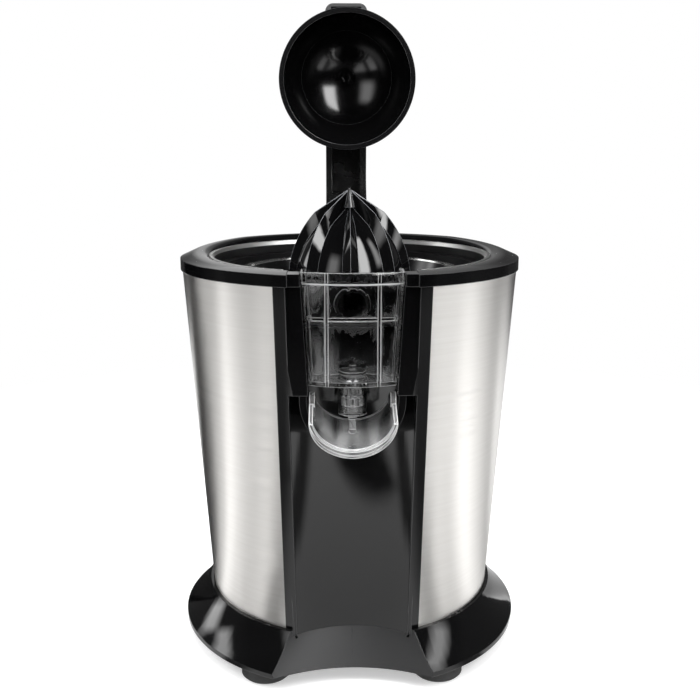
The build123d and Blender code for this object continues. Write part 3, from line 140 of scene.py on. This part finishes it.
# Skirt, dome, arm and steel-edged pieces: roughness, scale and strength of the grain
SKIRT_ROUGH = (0.06, 0.62)
SKIRT_GRAIN = (700.0, 0.015)
HOLLOW_SCALE = 900.0
DOME_ROUGH = (0.12, 0.17)
DOME_GRAIN = (800.0, 0.008)
ARM_ROUGH = (0.2, 0.3)
ARM_GRAIN = (900.0, 0.02)
STRAINER_ROUGH = (0.14, 0.22)
TRIM_ROUGH = (0.34, 0.42)
EDGED_GRAIN = (800.0, 0.02)

# Brushed drum: strokes as scales along and across them and detail, their shares, roughness and relief
FINE_STROKES = (14.0, 2600.0)
FINE_DETAIL = 4.0
FINE_SHARE = 0.45
BROAD_STROKES = (5.0, 420.0)
BROAD_DETAIL = 2.0
BROAD_SHARE = 0.55
DRUM_ROUGH = (0.34, 0.44)
DRUM_RELIEF = 0.12
BRUSH_STRENGTH = 0.9
BRUSH_TURN = 0.25

# Turned metals: dark and light colour, roughness, scale across the marks
METALS = {
    "bright_steel": ((0.72, 0.71, 0.7), (0.86, 0.86, 0.85), (0.1, 0.18), 1800.0),
    "plain_steel": ((0.45, 0.45, 0.46), (0.62, 0.62, 0.62), (0.25, 0.4), 900.0),
    "bearing_bronze": ((0.5, 0.33, 0.16), (0.68, 0.5, 0.28), (0.3, 0.45), 1200.0),
}
MARK_LENGTH = 20.0
MARK_RELIEF = 0.05
MARK_DEPTH = 0.00003

# Wound wire and stacked sheets: two colours, metal, roughness, scale, distortion, relief and its depth
BANDED = {
    "copper": ((0.32, 0.12, 0.05), (0.8, 0.42, 0.22), 0.9, (0.45, 0.25), 330.0, 1.5, 0.5, 0.0004),
    "motor_iron": ((0.2, 0.2, 0.21), (0.42, 0.42, 0.44), 1.0, (0.5, 0.32), 320.0, 0.0, 0.3, 0.0002),
}
# Clear plastic, with painted highlights on its edges, on the rib lines and in streaks on the spout

# Clear plastic
CLEAR_IOR = 1.4
CLEAR_ROUGH = (0.0, 0.008)
CLEAR_CLOUD_SCALE = 60.0
CLEAR_GLOSS_SCALE = 240.0
CLEAR_HIGHLIGHT_TRANSMISSION = 0.05
RIB_HIGHLIGHT_TRANSMISSION = 0.5
SPOUT_STREAK_TRANSMISSION = (0.74, 1.0)
HIGHLIGHT_STREAK_SCALE = (110.0, 25.0, 14.0)
FLOW_SCALE = 40.0
FLOW_RELIEF = 0.01
FLOW_DEPTH = 0.0003

# Floor, and its brightness in reflections by the distance from the drum
FLOOR_SIZE = 8.0
FLOOR_WHITE = 0.86
FLOOR_ROUGH = 0.9
FLOOR_GLOW = 0.4
FLOOR_NEAR = 0.3
FLOOR_FAR = 0.8
MIRROR_NEAR = 0.9
MIRROR_FAR = 1.15
MIRROR_GAIN = (1.15, 2.3, 0.15, 0.75)
MIRROR_DARK = 0.03
FRONT_REACH = -0.40
FRONT_SLANT = -0.5
FRONT_LEFT = -0.24
FRONT_FADE = 0.03

# Studio, whose ceiling darkens between two heights of the view direction
AMBIENT = 0.75
CEILING = 0.05
CEILING_FADE = (0.6, 0.85)

# Brightness of the studio in reflections, by angle from the camera's side, growing to the right
SIDE_LEVELS = (
    (-180, 0.4), (-177, 0.9), (-172, 0.9), (-166, 0.1), (-92, 0.1), (-82, 0.04),
    (82, 0.04), (92, 0.1), (166, 0.1), (172, 0.3), (180, 0.4),
)
FLOOR_LEVELS = (
    (-180, 0.95), (-145, 0.9), (-142, 0.0), (-132, 0.0), (-127, 0.02), (-119, 0.02), (-112, 0.06),
    (-107, 0.45), (-99, 0.6), (-95, 1.35), (-90, 1.4), (-86, 0.95), (-70, 0.74), (-53, 1.05),
    (-50, 0.14), (-43, 0.12), (-37, 0.9), (37, 0.9), (44, 0.12), (52, 0.14), (55, 0.9), (68, 0.78),
    (75, 1.05), (80, 1.48), (87, 1.42), (97, 1.05), (112, 0.62), (119, 0.5), (124, 0.7), (129, 1.0),
    (140, 0.75), (180, 0.7),
)
HALF_TURN = 180
FULL_TURN = 360
NEW_RAMP_STOPS = 2

# Soft boxes of the studio in reflections: azimuths and elevations in degrees, level, softness of the border
CARDS = (
    ((22, 44), (7, 62), 16.0, 3.0),
    ((-50, -27), (0, 34), 4.0, 6.0),
    ((64, 77), (18, 50), 6.0, 4.0),
    ((-122, -111), (2, 20), 5.5, 3.0),
    ((-109, -98), (20, 42), 6.0, 3.0),
)

# Lamps: name, azimuth and elevation in degrees, distance, size, power
LAMPS = (
    ("left_box", -70.0, 40.0, 1.3, 0.6, 8.0),
    ("right_box", 60.0, 40.0, 1.3, 0.6, 8.0),
    ("top_box", 0.0, 75.0, 1.4, 0.8, 10.0),
)
LIGHT_AIM = Vector((0.0, AXIS_Y, 0.2))

# Camera, fitted to the photograph
CAMERA_DISTANCE = 0.60245
CAMERA_HEIGHT = 0.3219
CAMERA_PITCH = 12.22
CAMERA_SIDE = 1.1
CAMERA_TURN = 0.03
LEVEL_PITCH = 90
LENS = 46.94
SENSOR = 36.0


# Node helpers


def add(tree, kind, **values):
    """New node with its settings."""
    made = tree.nodes.new(kind)
    for key, value in values.items():
        setattr(made, key, value)
    return made


def shader(name):
    """New material with its node tree and its main shader."""
    material = bpy.data.materials.new(name)
    material.use_nodes = True
    tree = material.node_tree
    return material, tree, tree.nodes["Principled BSDF"]


def place(tree):
    """Position in the object's own frame, in metres."""
    return add(tree, "ShaderNodeTexCoord").outputs["Object"]


def axes(tree, vector):
    """The three parts of a vector."""
    parts = add(tree, "ShaderNodeSeparateXYZ")
    tree.links.new(vector, parts.inputs["Vector"])
    return parts.outputs["X"], parts.outputs["Y"], parts.outputs["Z"]


def noise(tree, vector, scale, detail=NOISE_DETAIL):
    """Noise value over a position."""
    made = add(tree, "ShaderNodeTexNoise")
    made.inputs["Scale"].default_value = scale
    made.inputs["Detail"].default_value = detail
    tree.links.new(vector, made.inputs["Vector"])
    return made.outputs["Fac"]


def spread(tree, value, low, high, start=NOISE_LOW, end=NOISE_HIGH):
    """The value mapped from its span, a noise's if none is given, to a wanted one."""
    made = add(tree, "ShaderNodeMapRange")
    tree.links.new(value, made.inputs["Value"])
    made.inputs["From Min"].default_value = start
    made.inputs["From Max"].default_value = end
    made.inputs["To Min"].default_value = low
    made.inputs["To Max"].default_value = high
    return made.outputs["Result"]


def blend(tree, value, first, second):
    """Colour between two by a value; each is a plain colour or another node's output."""
    made = add(tree, "ShaderNodeMix", data_type="RGBA")
    tree.links.new(value, made.inputs["Factor"])
    for name, colour in (("A", first), ("B", second)):
        if isinstance(colour, tuple):
            made.inputs[name].default_value = (*colour, 1.0)
        else:
            tree.links.new(colour, made.inputs[name])
    return made.outputs["Result"]


def sum_of(tree, operation, *values):
    """Arithmetic on values, each a number or another node's output."""
    made = add(tree, "ShaderNodeMath", operation=operation)
    for socket, value in zip(made.inputs, values):
        if isinstance(value, (int, float)):
            socket.default_value = value
        else:
            tree.links.new(value, socket)
    return made.outputs["Value"]


def product(tree, *values):
    """All the values multiplied."""
    made = values[0]
    for value in values[1:]:
        made = sum_of(tree, "MULTIPLY", made, value)
    return made


def rounded_normal(tree, radius, samples):
    """Normal of the surface with its edges rounded."""
    bevel = add(tree, "ShaderNodeBevel", samples=samples)
    bevel.inputs["Radius"].default_value = radius
    return bevel.outputs["Normal"]


def relief(tree, main, height, strength, distance, edge=EDGE_R):
    """Fine relief on the surface, with rounded edges."""
    bump = add(tree, "ShaderNodeBump")
    bump.inputs["Strength"].default_value = strength
    bump.inputs["Distance"].default_value = distance
    tree.links.new(height, bump.inputs["Height"])
    if edge:
        tree.links.new(rounded_normal(tree, edge, EDGE_SAMPLES), bump.inputs["Normal"])
    tree.links.new(bump.outputs["Normal"], main.inputs["Normal"])


def vector_sum(tree, operation, a, b):
    """Node for arithmetic on two vectors, each a plain one or another node's output."""
    made = add(tree, "ShaderNodeVectorMath", operation=operation)
    for socket, value in zip(made.inputs, (a, b)):
        if isinstance(value, tuple):
            socket.default_value = value
        else:
            tree.links.new(value, socket)
    return made


def edge_mask(tree, radius, least):
    """One along the edges of the form and zero on its open faces."""
    plain = add(tree, "ShaderNodeNewGeometry").outputs["Normal"]
    turn = vector_sum(tree, "DOT_PRODUCT", rounded_normal(tree, radius, LINE_SAMPLES), plain)
    return spread(tree, turn.outputs["Value"], 1.0, 0.0, least, OPEN_FACE_TURN)


def around_drum(tree, along, across):
    """Position on the drum's wall as arc length and height, each scaled."""
    x, y, z = axes(tree, place(tree))
    angle = sum_of(tree, "ARCTAN2", x, sum_of(tree, "SUBTRACT", y, AXIS_Y))
    joined = add(tree, "ShaderNodeCombineXYZ")
    tree.links.new(product(tree, angle, DRUM_R * along), joined.inputs["X"])
    tree.links.new(product(tree, z, across), joined.inputs["Y"])
    return joined.outputs["Vector"]


# Plastics


def grained(name, grain, strength, edge=EDGE_R):
    """New plastic with a fine grain: the material, its nodes, its main shader and the position."""
    material, tree, main = shader(name)
    where = place(tree)
    relief(tree, main, noise(tree, where, grain), strength, GRAIN_DEPTH, edge)
    return material, tree, main, where


def vary_gloss(tree, main, where, rough):
    """Roughness that varies a little over the surface."""
    tree.links.new(spread(tree, noise(tree, where, GLOSS_SCALE), *rough), main.inputs["Roughness"])


def moulded(name, edge=EDGE_R):
    """Moulded plastic or rubber: colour, gloss and fine relief all vary a little over the surface."""
    dark, light, rough, grain, strength = PLASTICS[name]
    material, tree, main, where = grained(name, grain, strength, edge)
    cloud = noise(tree, where, CLOUD_SCALE)
    tree.links.new(blend(tree, cloud, dark, light), main.inputs["Base Color"])
    vary_gloss(tree, main, where, rough)
    return material


def with_painted_edge_highlights(material, highlight_colour, region=None):
    """The material again with painted highlights along its edges, all over or in a region."""
    tree = material.node_tree
    highlighted = edge_mask(tree, HIGHLIGHT_EDGE_R, HIGHLIGHT_EDGE_TURN)
    if region:
        highlighted = product(tree, highlighted, region(tree))
    colour = tree.nodes["Principled BSDF"].inputs["Base Color"]
    # Painted highlight: the base colour turns paler along the edges
    tree.links.new(blend(tree, highlighted, colour.links[0].from_socket, highlight_colour), colour)
    return material


def bowl_black():
    """Dull black plastic with a weak shine."""
    material = moulded("bowl_black")
    main = material.node_tree.nodes["Principled BSDF"]
    main.inputs["Specular IOR Level"].default_value = BOWL_SPECULAR
    return material


def skirt_black():
    """Gloss black plastic with a satin hollow at the front, where the surface faces the middle."""
    material, tree, main, where = grained("skirt_black", *SKIRT_GRAIN)
    x, y, _ = axes(tree, where)
    across, _, _ = axes(tree, add(tree, "ShaderNodeTexCoord").outputs["Normal"])
    inward = sum_of(tree, "LESS_THAN", product(tree, x, across), 0.0)
    front = sum_of(tree, "LESS_THAN", y, AXIS_Y + SKIRT_FRONT_Y)
    satin = product(tree, inward, front)
    hollow = blend(tree, noise(tree, where, HOLLOW_SCALE), HOLLOW_DARK, HOLLOW_LIGHT)
    tree.links.new(blend(tree, satin, MIDDLE_BLACK, hollow), main.inputs["Base Color"])
    tree.links.new(spread(tree, satin, *SKIRT_ROUGH, 0.0, 1.0), main.inputs["Roughness"])
    return material


def from_dome(tree):
    """Distance from the middle of the dome's mouth."""
    return vector_sum(tree, "DISTANCE", place(tree), DOME_MIDDLE).outputs["Value"]


def beyond_dome(tree):
    """One round the lip of the dome and zero inside it."""
    return sum_of(tree, "GREATER_THAN", from_dome(tree), DOME_LIP[0] - DOME_LIP_DEPTH)


def dome_black():
    """Satin black plastic whose flat lip is a little lighter."""
    material, tree, main, where = grained("dome_black", *DOME_GRAIN)
    away = from_dome(tree)
    outside = sum_of(tree, "GREATER_THAN", away, DOME_LIP[0])
    inside = sum_of(tree, "LESS_THAN", away, DOME_LIP[1])
    offset = vector_sum(tree, "SUBTRACT", where, DOME_MIDDLE).outputs["Vector"]
    depth = vector_sum(tree, "DOT_PRODUCT", offset, DOME_INWARD).outputs["Value"]
    lip = product(tree, outside, inside, sum_of(tree, "LESS_THAN", depth, DOME_LIP_DEPTH))
    tree.links.new(blend(tree, lip, MIDDLE_BLACK, LIP_BLACK), main.inputs["Base Color"])
    vary_gloss(tree, main, where, DOME_ROUGH)
    return material


def arm_black():
    """Satin black plastic, with a painted sheen that makes the end lighter."""
    material, tree, main, where = grained("arm_grey", *ARM_GRAIN)
    _, _, z = axes(tree, where)
    # Painted sheen on the end of the arm
    end = spread(tree, z, 0.0, 1.0, ARM_END_Z, ARM_END_Z + ARM_END_FADE)
    tree.links.new(blend(tree, end, ARM_BLACK, ARM_END_PAINTED_SHEEN), main.inputs["Base Color"])
    vary_gloss(tree, main, where, ARM_ROUGH)
    return material


def edged_black(name, edge_z, rough):
    """Satin black plastic with a bright steel edge above a height."""
    material, tree, main, where = grained(name, *EDGED_GRAIN)
    _, _, z = axes(tree, where)
    edge = spread(tree, z, 0.0, 1.0, edge_z, edge_z + STEEL_EDGE_FADE)
    tree.links.new(blend(tree, edge, MIDDLE_BLACK, EDGE_STEEL), main.inputs["Base Color"])
    tree.links.new(edge, main.inputs["Metallic"])
    vary_gloss(tree, main, where, rough)
    return material


# Clear plastic


def painted_rib_highlights(tree, where):
    """One on the edges of the juice box's two ribs as seen through its front wall, where highlight lines
    are painted, and zero elsewhere.
    """
    x, y, z = axes(tree, where)
    side = sum_of(tree, "SUBTRACT", sum_of(tree, "ABSOLUTE", x), RIB_X)
    edge = sum_of(tree, "COMPARE", sum_of(tree, "ABSOLUTE", side), RIB_EDGE, RIB_LINE)
    front = sum_of(tree, "LESS_THAN", y, AXIS_Y + RIB_FRONT_Y)
    high = sum_of(tree, "GREATER_THAN", z, RIB_LOW_Z)
    return product(tree, edge, front, high)


def highlight_streaks(tree, where):
    """Value that changes quickly across the spout and slowly along it, for painted highlight streaks."""
    stretched = add(tree, "ShaderNodeMapping")
    stretched.inputs["Scale"].default_value = HIGHLIGHT_STREAK_SCALE
    tree.links.new(where, stretched.inputs["Vector"])
    return noise(tree, stretched.outputs["Vector"], 1.0, 1.0)


def clear_plastic(name, line, painted_streaks=None):
    """Clear moulded plastic with faint flow marks, whose edges are painted as pale highlight lines."""
    material, tree, main = shader(name)
    where = place(tree)
    cloud = noise(tree, where, CLEAR_CLOUD_SCALE)
    tree.links.new(blend(tree, cloud, CLEAR_TINT, WHITE), main.inputs["Base Color"])
    # Painted highlights: edges turn pale and let little light through
    edges = edge_mask(tree, line, CLEAR_HIGHLIGHT_TURN)
    through = spread(tree, edges, 1.0, CLEAR_HIGHLIGHT_TRANSMISSION, 0.0, 1.0)
    # Painted highlight lines over the ribs
    ribs = spread(tree, painted_rib_highlights(tree, where), 1.0, RIB_HIGHLIGHT_TRANSMISSION, 0.0, 1.0)
    through = sum_of(tree, "MINIMUM", through, ribs)
    # Painted highlight streaks on the spout
    if painted_streaks:
        through = sum_of(tree, "MINIMUM", through, spread(tree, highlight_streaks(tree, where), *painted_streaks))
    tree.links.new(through, main.inputs["Transmission Weight"])
    gloss = noise(tree, where, CLEAR_GLOSS_SCALE)
    tree.links.new(spread(tree, gloss, *CLEAR_ROUGH), main.inputs["Roughness"])
    main.inputs["IOR"].default_value = CLEAR_IOR
    relief(tree, main, noise(tree, where, FLOW_SCALE, 1.0), FLOW_RELIEF, FLOW_DEPTH, 0.0)
    return material


# Metals


def brushed_drum():
    """Steel sheet brushed round the drum in long fine strokes."""
    material, tree, main = shader("brushed_drum")
    fine = noise(tree, around_drum(tree, *FINE_STROKES), 1.0, FINE_DETAIL)
    broad = noise(tree, around_drum(tree, *BROAD_STROKES), 1.0, BROAD_DETAIL)
    both = sum_of(tree, "ADD", product(tree, fine, FINE_SHARE), product(tree, broad, BROAD_SHARE))
    tree.links.new(blend(tree, both, DRUM_DARK, DRUM_LIGHT), main.inputs["Base Color"])
    tree.links.new(spread(tree, both, *DRUM_ROUGH), main.inputs["Roughness"])
    main.inputs["Metallic"].default_value = 1.0
    main.inputs["Anisotropic"].default_value = BRUSH_STRENGTH
    main.inputs["Anisotropic Rotation"].default_value = BRUSH_TURN
    tangent = add(tree, "ShaderNodeTangent", direction_type="RADIAL", axis="Z")
    tree.links.new(tangent.outputs["Tangent"], main.inputs["Tangent"])
    relief(tree, main, fine, DRUM_RELIEF, MARK_DEPTH, 0.0)
    return material


def turned_metal(name):
    """Metal with fine marks round the drum's axis."""
    dark, light, rough, across = METALS[name]
    material, tree, main = shader(name)
    marks = noise(tree, around_drum(tree, MARK_LENGTH, across), 1.0)
    tree.links.new(blend(tree, marks, dark, light), main.inputs["Base Color"])
    tree.links.new(spread(tree, marks, *rough), main.inputs["Roughness"])
    main.inputs["Metallic"].default_value = 1.0
    relief(tree, main, marks, MARK_RELIEF, MARK_DEPTH)
    return material


def banded(name):
    """Varnished wire wound in fine turns, or a stack of thin sheets, seen as level lines."""
    dark, light, metal, rough, scale, distortion, strength, depth = BANDED[name]
    material, tree, main = shader(name)
    wave = add(tree, "ShaderNodeTexWave", bands_direction="Z")
    wave.inputs["Scale"].default_value = scale
    wave.inputs["Distortion"].default_value = distortion
    tree.links.new(place(tree), wave.inputs["Vector"])
    lines = wave.outputs["Fac"]
    tree.links.new(blend(tree, lines, dark, light), main.inputs["Base Color"])
    main.inputs["Metallic"].default_value = metal
    tree.links.new(spread(tree, lines, *rough), main.inputs["Roughness"])
    relief(tree, main, lines, strength, depth)
    return material


# Dressing of the nodes


def make_materials():
    """Every finish by the record's slot name."""
    materials = {
        "gloss_black": with_painted_edge_highlights(moulded("gloss_black"), GLOSS_EDGE_HIGHLIGHT),
        "cone_black": with_painted_edge_highlights(moulded("cone_black", CONE_EDGE_R), CONE_EDGE_HIGHLIGHT),
        "bowl_black": bowl_black(),
        "arm_grey": arm_black(),
        "dome_black": with_painted_edge_highlights(dome_black(), DOME_EDGE_HIGHLIGHT, beyond_dome),
        "clear_plastic": clear_plastic("clear_plastic", BOX_HIGHLIGHT_R),
        "brushed_drum": brushed_drum(),
    }
    for name in ("inner_plastic", "gear_plastic", "foot_rubber", "seal_rubber"):
        materials[name] = moulded(name)
    for name in METALS:
        materials[name] = turned_metal(name)
    for name in BANDED:
        materials[name] = banded(name)
    return materials


def dress(mesh, material):
    """The mesh with one finish all over."""
    mesh.materials.clear()
    mesh.materials.append(material)


def dress_nodes(materials):
    """Each carried-over node gets the finish of its slot, and two get a finish of their own."""
    for row in frame["record"]["subparts"]:
        dress(NODES[row["node"]].data, materials[row["material_slot"]])
    dress(NODES["strainer"].data, edged_black("strainer_black", STRAINER_EDGE_Z, STRAINER_ROUGH))
    dress(NODES["base_skirt"].data, skirt_black())


# Pieces that stand in for nodes


def put(name, data):
    """New object in the scene."""
    made = bpy.data.objects.new(name, data)
    bpy.context.scene.collection.objects.link(made)
    return made


def welded(node):
    """Copy of a node's mesh, and its form with joined corners to work on."""
    mesh = NODES[node].data.copy()
    shape = bmesh.new()
    shape.from_mesh(mesh)
    bmesh.ops.remove_doubles(shape, verts=shape.verts, dist=WELD_DISTANCE)
    return mesh, shape


def rounded_copy(node, body, material):
    """The node's form again with its edges rounded, so that clear plastic shows bright lines there."""
    mesh, shape = welded(node)
    flat = math.radians(FLAT_ANGLE)
    bmesh.ops.dissolve_limit(shape, angle_limit=flat, verts=shape.verts, edges=shape.edges)
    shape.to_mesh(mesh)
    shape.free()
    dress(mesh, material)
    piece = put(node + "_clear", mesh)
    bevel = piece.modifiers.new("edges", "BEVEL")
    bevel.width = CLEAR_EDGE_R
    bevel.segments = CLEAR_EDGE_STEPS
    bevel.limit_method = "ANGLE"
    bevel.angle_limit = math.radians(CLEAR_EDGE_ANGLE)
    bevel.harden_normals = False
    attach(piece, body)
    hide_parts(node)


def sloped_copy(node, material):
    """The node's form again with its crest falling to the front."""
    mesh, shape = welded(node)
    for vertex in shape.verts:
        rise = vertex.co.z - RIM_EDGE_Z
        share = (vertex.co.y - AXIS_Y - RIM_LOW_Y) / (RIM_HIGH_Y - RIM_LOW_Y)
        if rise > 0:
            vertex.co.z = RIM_EDGE_Z + rise * min(max(share, RIM_LEAST), 1.0)
    for face in shape.faces:
        face.smooth = True
    shape.to_mesh(mesh)
    shape.free()
    if "custom_normal" in mesh.attributes:
        mesh.attributes.remove(mesh.attributes["custom_normal"])
    mesh.set_sharp_from_angle(angle=math.radians(SHARP_ANGLE))
    dress(mesh, material)
    piece = put(node + "_sloped", mesh)
    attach(piece, "housing")
    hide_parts(node)
    return piece


def shortening_spring():
    """The return spring again, as a piece with a mesh of its own, in place of the node."""
    piece = put("return_spring_coil", NODES["return_spring"].data.copy())
    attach(piece, "housing")
    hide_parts("return_spring")
    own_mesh(piece)


def make_pieces(materials):
    """The pieces that stand in for nodes."""
    spout = clear_plastic("spout_clear", SPOUT_HIGHLIGHT_R, SPOUT_STREAK_TRANSMISSION)
    trim = edged_black("trim_steel", TRIM_EDGE_Z, TRIM_ROUGH)
    rounded_copy("juice_box", "housing", materials["clear_plastic"])
    rounded_copy("drip_spout", "spout", spout)
    sloped_copy("top_rim", materials["gloss_black"])
    sloped_copy("rim_trim_ring", trim)
    shortening_spring()


# Studio


def azimuth_of(tree, x, y):
    """Angle from the camera's side, growing to the right."""
    return sum_of(tree, "ARCTAN2", x, product(tree, y, -1.0))


def levels_round(tree, x, y, levels):
    """Brightness by the angle round the drum, from a list of angles and levels."""
    share = spread(tree, azimuth_of(tree, x, y), 0.0, 1.0, -math.pi, math.pi)
    ramp = add(tree, "ShaderNodeValToRGB")
    stops = ramp.color_ramp.elements
    for i, (degrees, value) in enumerate(levels):
        where = (degrees + HALF_TURN) / FULL_TURN
        stop = stops[i] if i < NEW_RAMP_STOPS else stops.new(where)
        stop.position = where
        stop.color = (value, value, value, 1.0)
    tree.links.new(share, ramp.inputs["Fac"])
    return ramp.outputs["Color"]


def mixed(tree, share, first, second):
    """Shader between two by a value."""
    made = add(tree, "ShaderNodeMixShader")
    tree.links.new(share, made.inputs["Fac"])
    tree.links.new(first, made.inputs[1])
    tree.links.new(second, made.inputs[2])
    return made.outputs["Shader"]


def seen_directly(tree, path):
    """One for the camera's own rays and those that pass through clear plastic."""
    return sum_of(tree, "MAXIMUM", path.outputs["Is Camera Ray"], path.outputs["Is Transmission Ray"])


def floor_in_reflections(tree, x, y, reach):
    """Brightness that reflections see on the floor: dark far away and before the machine."""
    slant = sum_of(tree, "ADD", product(tree, x, FRONT_SLANT), FRONT_REACH)
    behind = sum_of(tree, "SUBTRACT", y, slant)
    aside = sum_of(tree, "SUBTRACT", FRONT_LEFT, x)
    clear = sum_of(tree, "MAXIMUM", behind, aside)
    front = spread(tree, clear, MIRROR_DARK, 1.0, -FRONT_FADE, FRONT_FADE)
    near = spread(tree, reach, 1.0, MIRROR_DARK, MIRROR_NEAR, MIRROR_FAR)
    gain = spread(tree, reach, *MIRROR_GAIN)
    return product(tree, levels_round(tree, x, y, FLOOR_LEVELS), front, gain, near)


def floor_white():
    """Pale floor that keeps the shadow and stays near white."""
    material, tree, main = shader("floor_white")
    x, depth, _ = axes(tree, place(tree))
    y = sum_of(tree, "SUBTRACT", depth, AXIS_Y)
    squares = sum_of(tree, "ADD", product(tree, x, x), product(tree, y, y))
    reach = sum_of(tree, "SQRT", squares)
    far = spread(tree, reach, 0.0, 1.0, FLOOR_NEAR, FLOOR_FAR)
    tree.links.new(blend(tree, far, (FLOOR_WHITE,) * 3, NO_LIGHT), main.inputs["Base Color"])
    main.inputs["Roughness"].default_value = FLOOR_ROUGH
    main.inputs["Specular IOR Level"].default_value = 0.0
    main.inputs["Emission Color"].default_value = (*WHITE, 1.0)
    path = add(tree, "ShaderNodeLightPath")
    glow = product(tree, seen_directly(tree, path), spread(tree, far, FLOOR_GLOW, 1.0, 0.0, 1.0))
    tree.links.new(glow, main.inputs["Emission Strength"])
    mirror = add(tree, "ShaderNodeEmission")
    tree.links.new(floor_in_reflections(tree, x, y, reach), mirror.inputs["Strength"])
    glossy = path.outputs["Is Glossy Ray"]
    both = mixed(tree, glossy, main.outputs["BSDF"], mirror.outputs["Emission"])
    tree.links.new(both, tree.nodes["Material Output"].inputs["Surface"])
    return material


def make_floor():
    """Square floor under the machine."""
    half = FLOOR_SIZE / 2
    corners = [(-half, -half, 0), (half, -half, 0), (half, half, 0), (-half, half, 0)]
    mesh = bpy.data.meshes.new("floor")
    mesh.from_pydata(corners, [], [(0, 1, 2, 3)])
    dress(mesh, floor_white())
    floor = put("floor", mesh)


def card(tree, angle, height, azimuths, elevations, level, soft):
    """Bright rectangle of the studio with a soft border."""
    value = level
    for at, (low, high) in ((angle, azimuths), (height, elevations)):
        rise = spread(tree, at, 0.0, 1.0, math.radians(low - soft), math.radians(low + soft))
        fall = spread(tree, at, 1.0, 0.0, math.radians(high - soft), math.radians(high + soft))
        value = product(tree, rise, fall, value)
    return value


def studio_in_reflections(tree):
    """Brightness that reflections see round the machine: dark sides and ceiling, and soft boxes."""
    x, y, z = axes(tree, add(tree, "ShaderNodeTexCoord").outputs["Generated"])
    high = spread(tree, z, 1.0, CEILING, *CEILING_FADE)
    level = product(tree, levels_round(tree, x, y, SIDE_LEVELS), high)
    angle = azimuth_of(tree, x, y)
    height = sum_of(tree, "ARCSINE", z)
    for row in CARDS:
        level = sum_of(tree, "ADD", level, card(tree, angle, height, *row))
    return level


def make_world():
    """White background, plain ambient light, and a studio with a darker front in reflections."""
    world = bpy.data.worlds.new("studio")
    bpy.context.scene.world = world
    world.use_nodes = True
    world.cycles.sampling_method = "NONE"
    tree = world.node_tree
    tree.nodes.clear()
    path = add(tree, "ShaderNodeLightPath")
    plain = add(tree, "ShaderNodeBackground")
    plain.inputs["Strength"].default_value = AMBIENT
    plain.inputs["Color"].default_value = (*WHITE, 1.0)
    mirror = add(tree, "ShaderNodeBackground")
    tree.links.new(studio_in_reflections(tree), mirror.inputs["Strength"])
    white = add(tree, "ShaderNodeBackground")
    white.inputs["Color"].default_value = (*WHITE, 1.0)
    glossy = path.outputs["Is Glossy Ray"]
    lit = mixed(tree, glossy, plain.outputs["Background"], mirror.outputs["Background"])
    shown = mixed(tree, seen_directly(tree, path), lit, white.outputs["Background"])
    tree.links.new(shown, add(tree, "ShaderNodeOutputWorld").inputs["Surface"])


def softbox(name, azimuth, elevation, distance, size, power):
    """Soft area light aimed at the drum; azimuth 0 is the camera's side and grows to the right."""
    a = math.radians(azimuth)
    e = math.radians(elevation)
    out = Vector((math.sin(a) * math.cos(e), -math.cos(a) * math.cos(e), math.sin(e)))
    data = bpy.data.lights.new(name, "AREA")
    data.shape = "RECTANGLE"
    data.size = size
    data.size_y = size
    data.energy = power
    lamp = put(name, data)
    lamp.location = LIGHT_AIM + out * distance
    lamp.rotation_euler = (-out).to_track_quat("-Z", "Y").to_euler()
    lamp.visible_camera = False
    lamp.visible_glossy = False


def make_camera():
    """Camera at the photograph's angle."""
    data = bpy.data.cameras.new("camera")
    data.lens = LENS
    data.sensor_width = SENSOR
    camera = put("camera", data)
    side = math.radians(CAMERA_SIDE)
    x = -CAMERA_DISTANCE * math.sin(side)
    y = AXIS_Y - CAMERA_DISTANCE * math.cos(side)
    camera.location = (x, y, CAMERA_HEIGHT)
    turn = -math.radians(CAMERA_SIDE + CAMERA_TURN)
    camera.rotation_euler = (math.radians(LEVEL_PITCH - CAMERA_PITCH), 0.0, turn)
    bpy.context.scene.camera = camera


def write_size():
    """Brings the view layer up to date."""
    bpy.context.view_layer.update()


def main():
    """The whole scene."""
    bpy.context.scene.view_settings.view_transform = "Standard"
    materials = make_materials()
    dress_nodes(materials)
    make_pieces(materials)
    make_floor()
    make_world()
    for row in LAMPS:
        softbox(*row)
    make_camera()
    write_size()


main()
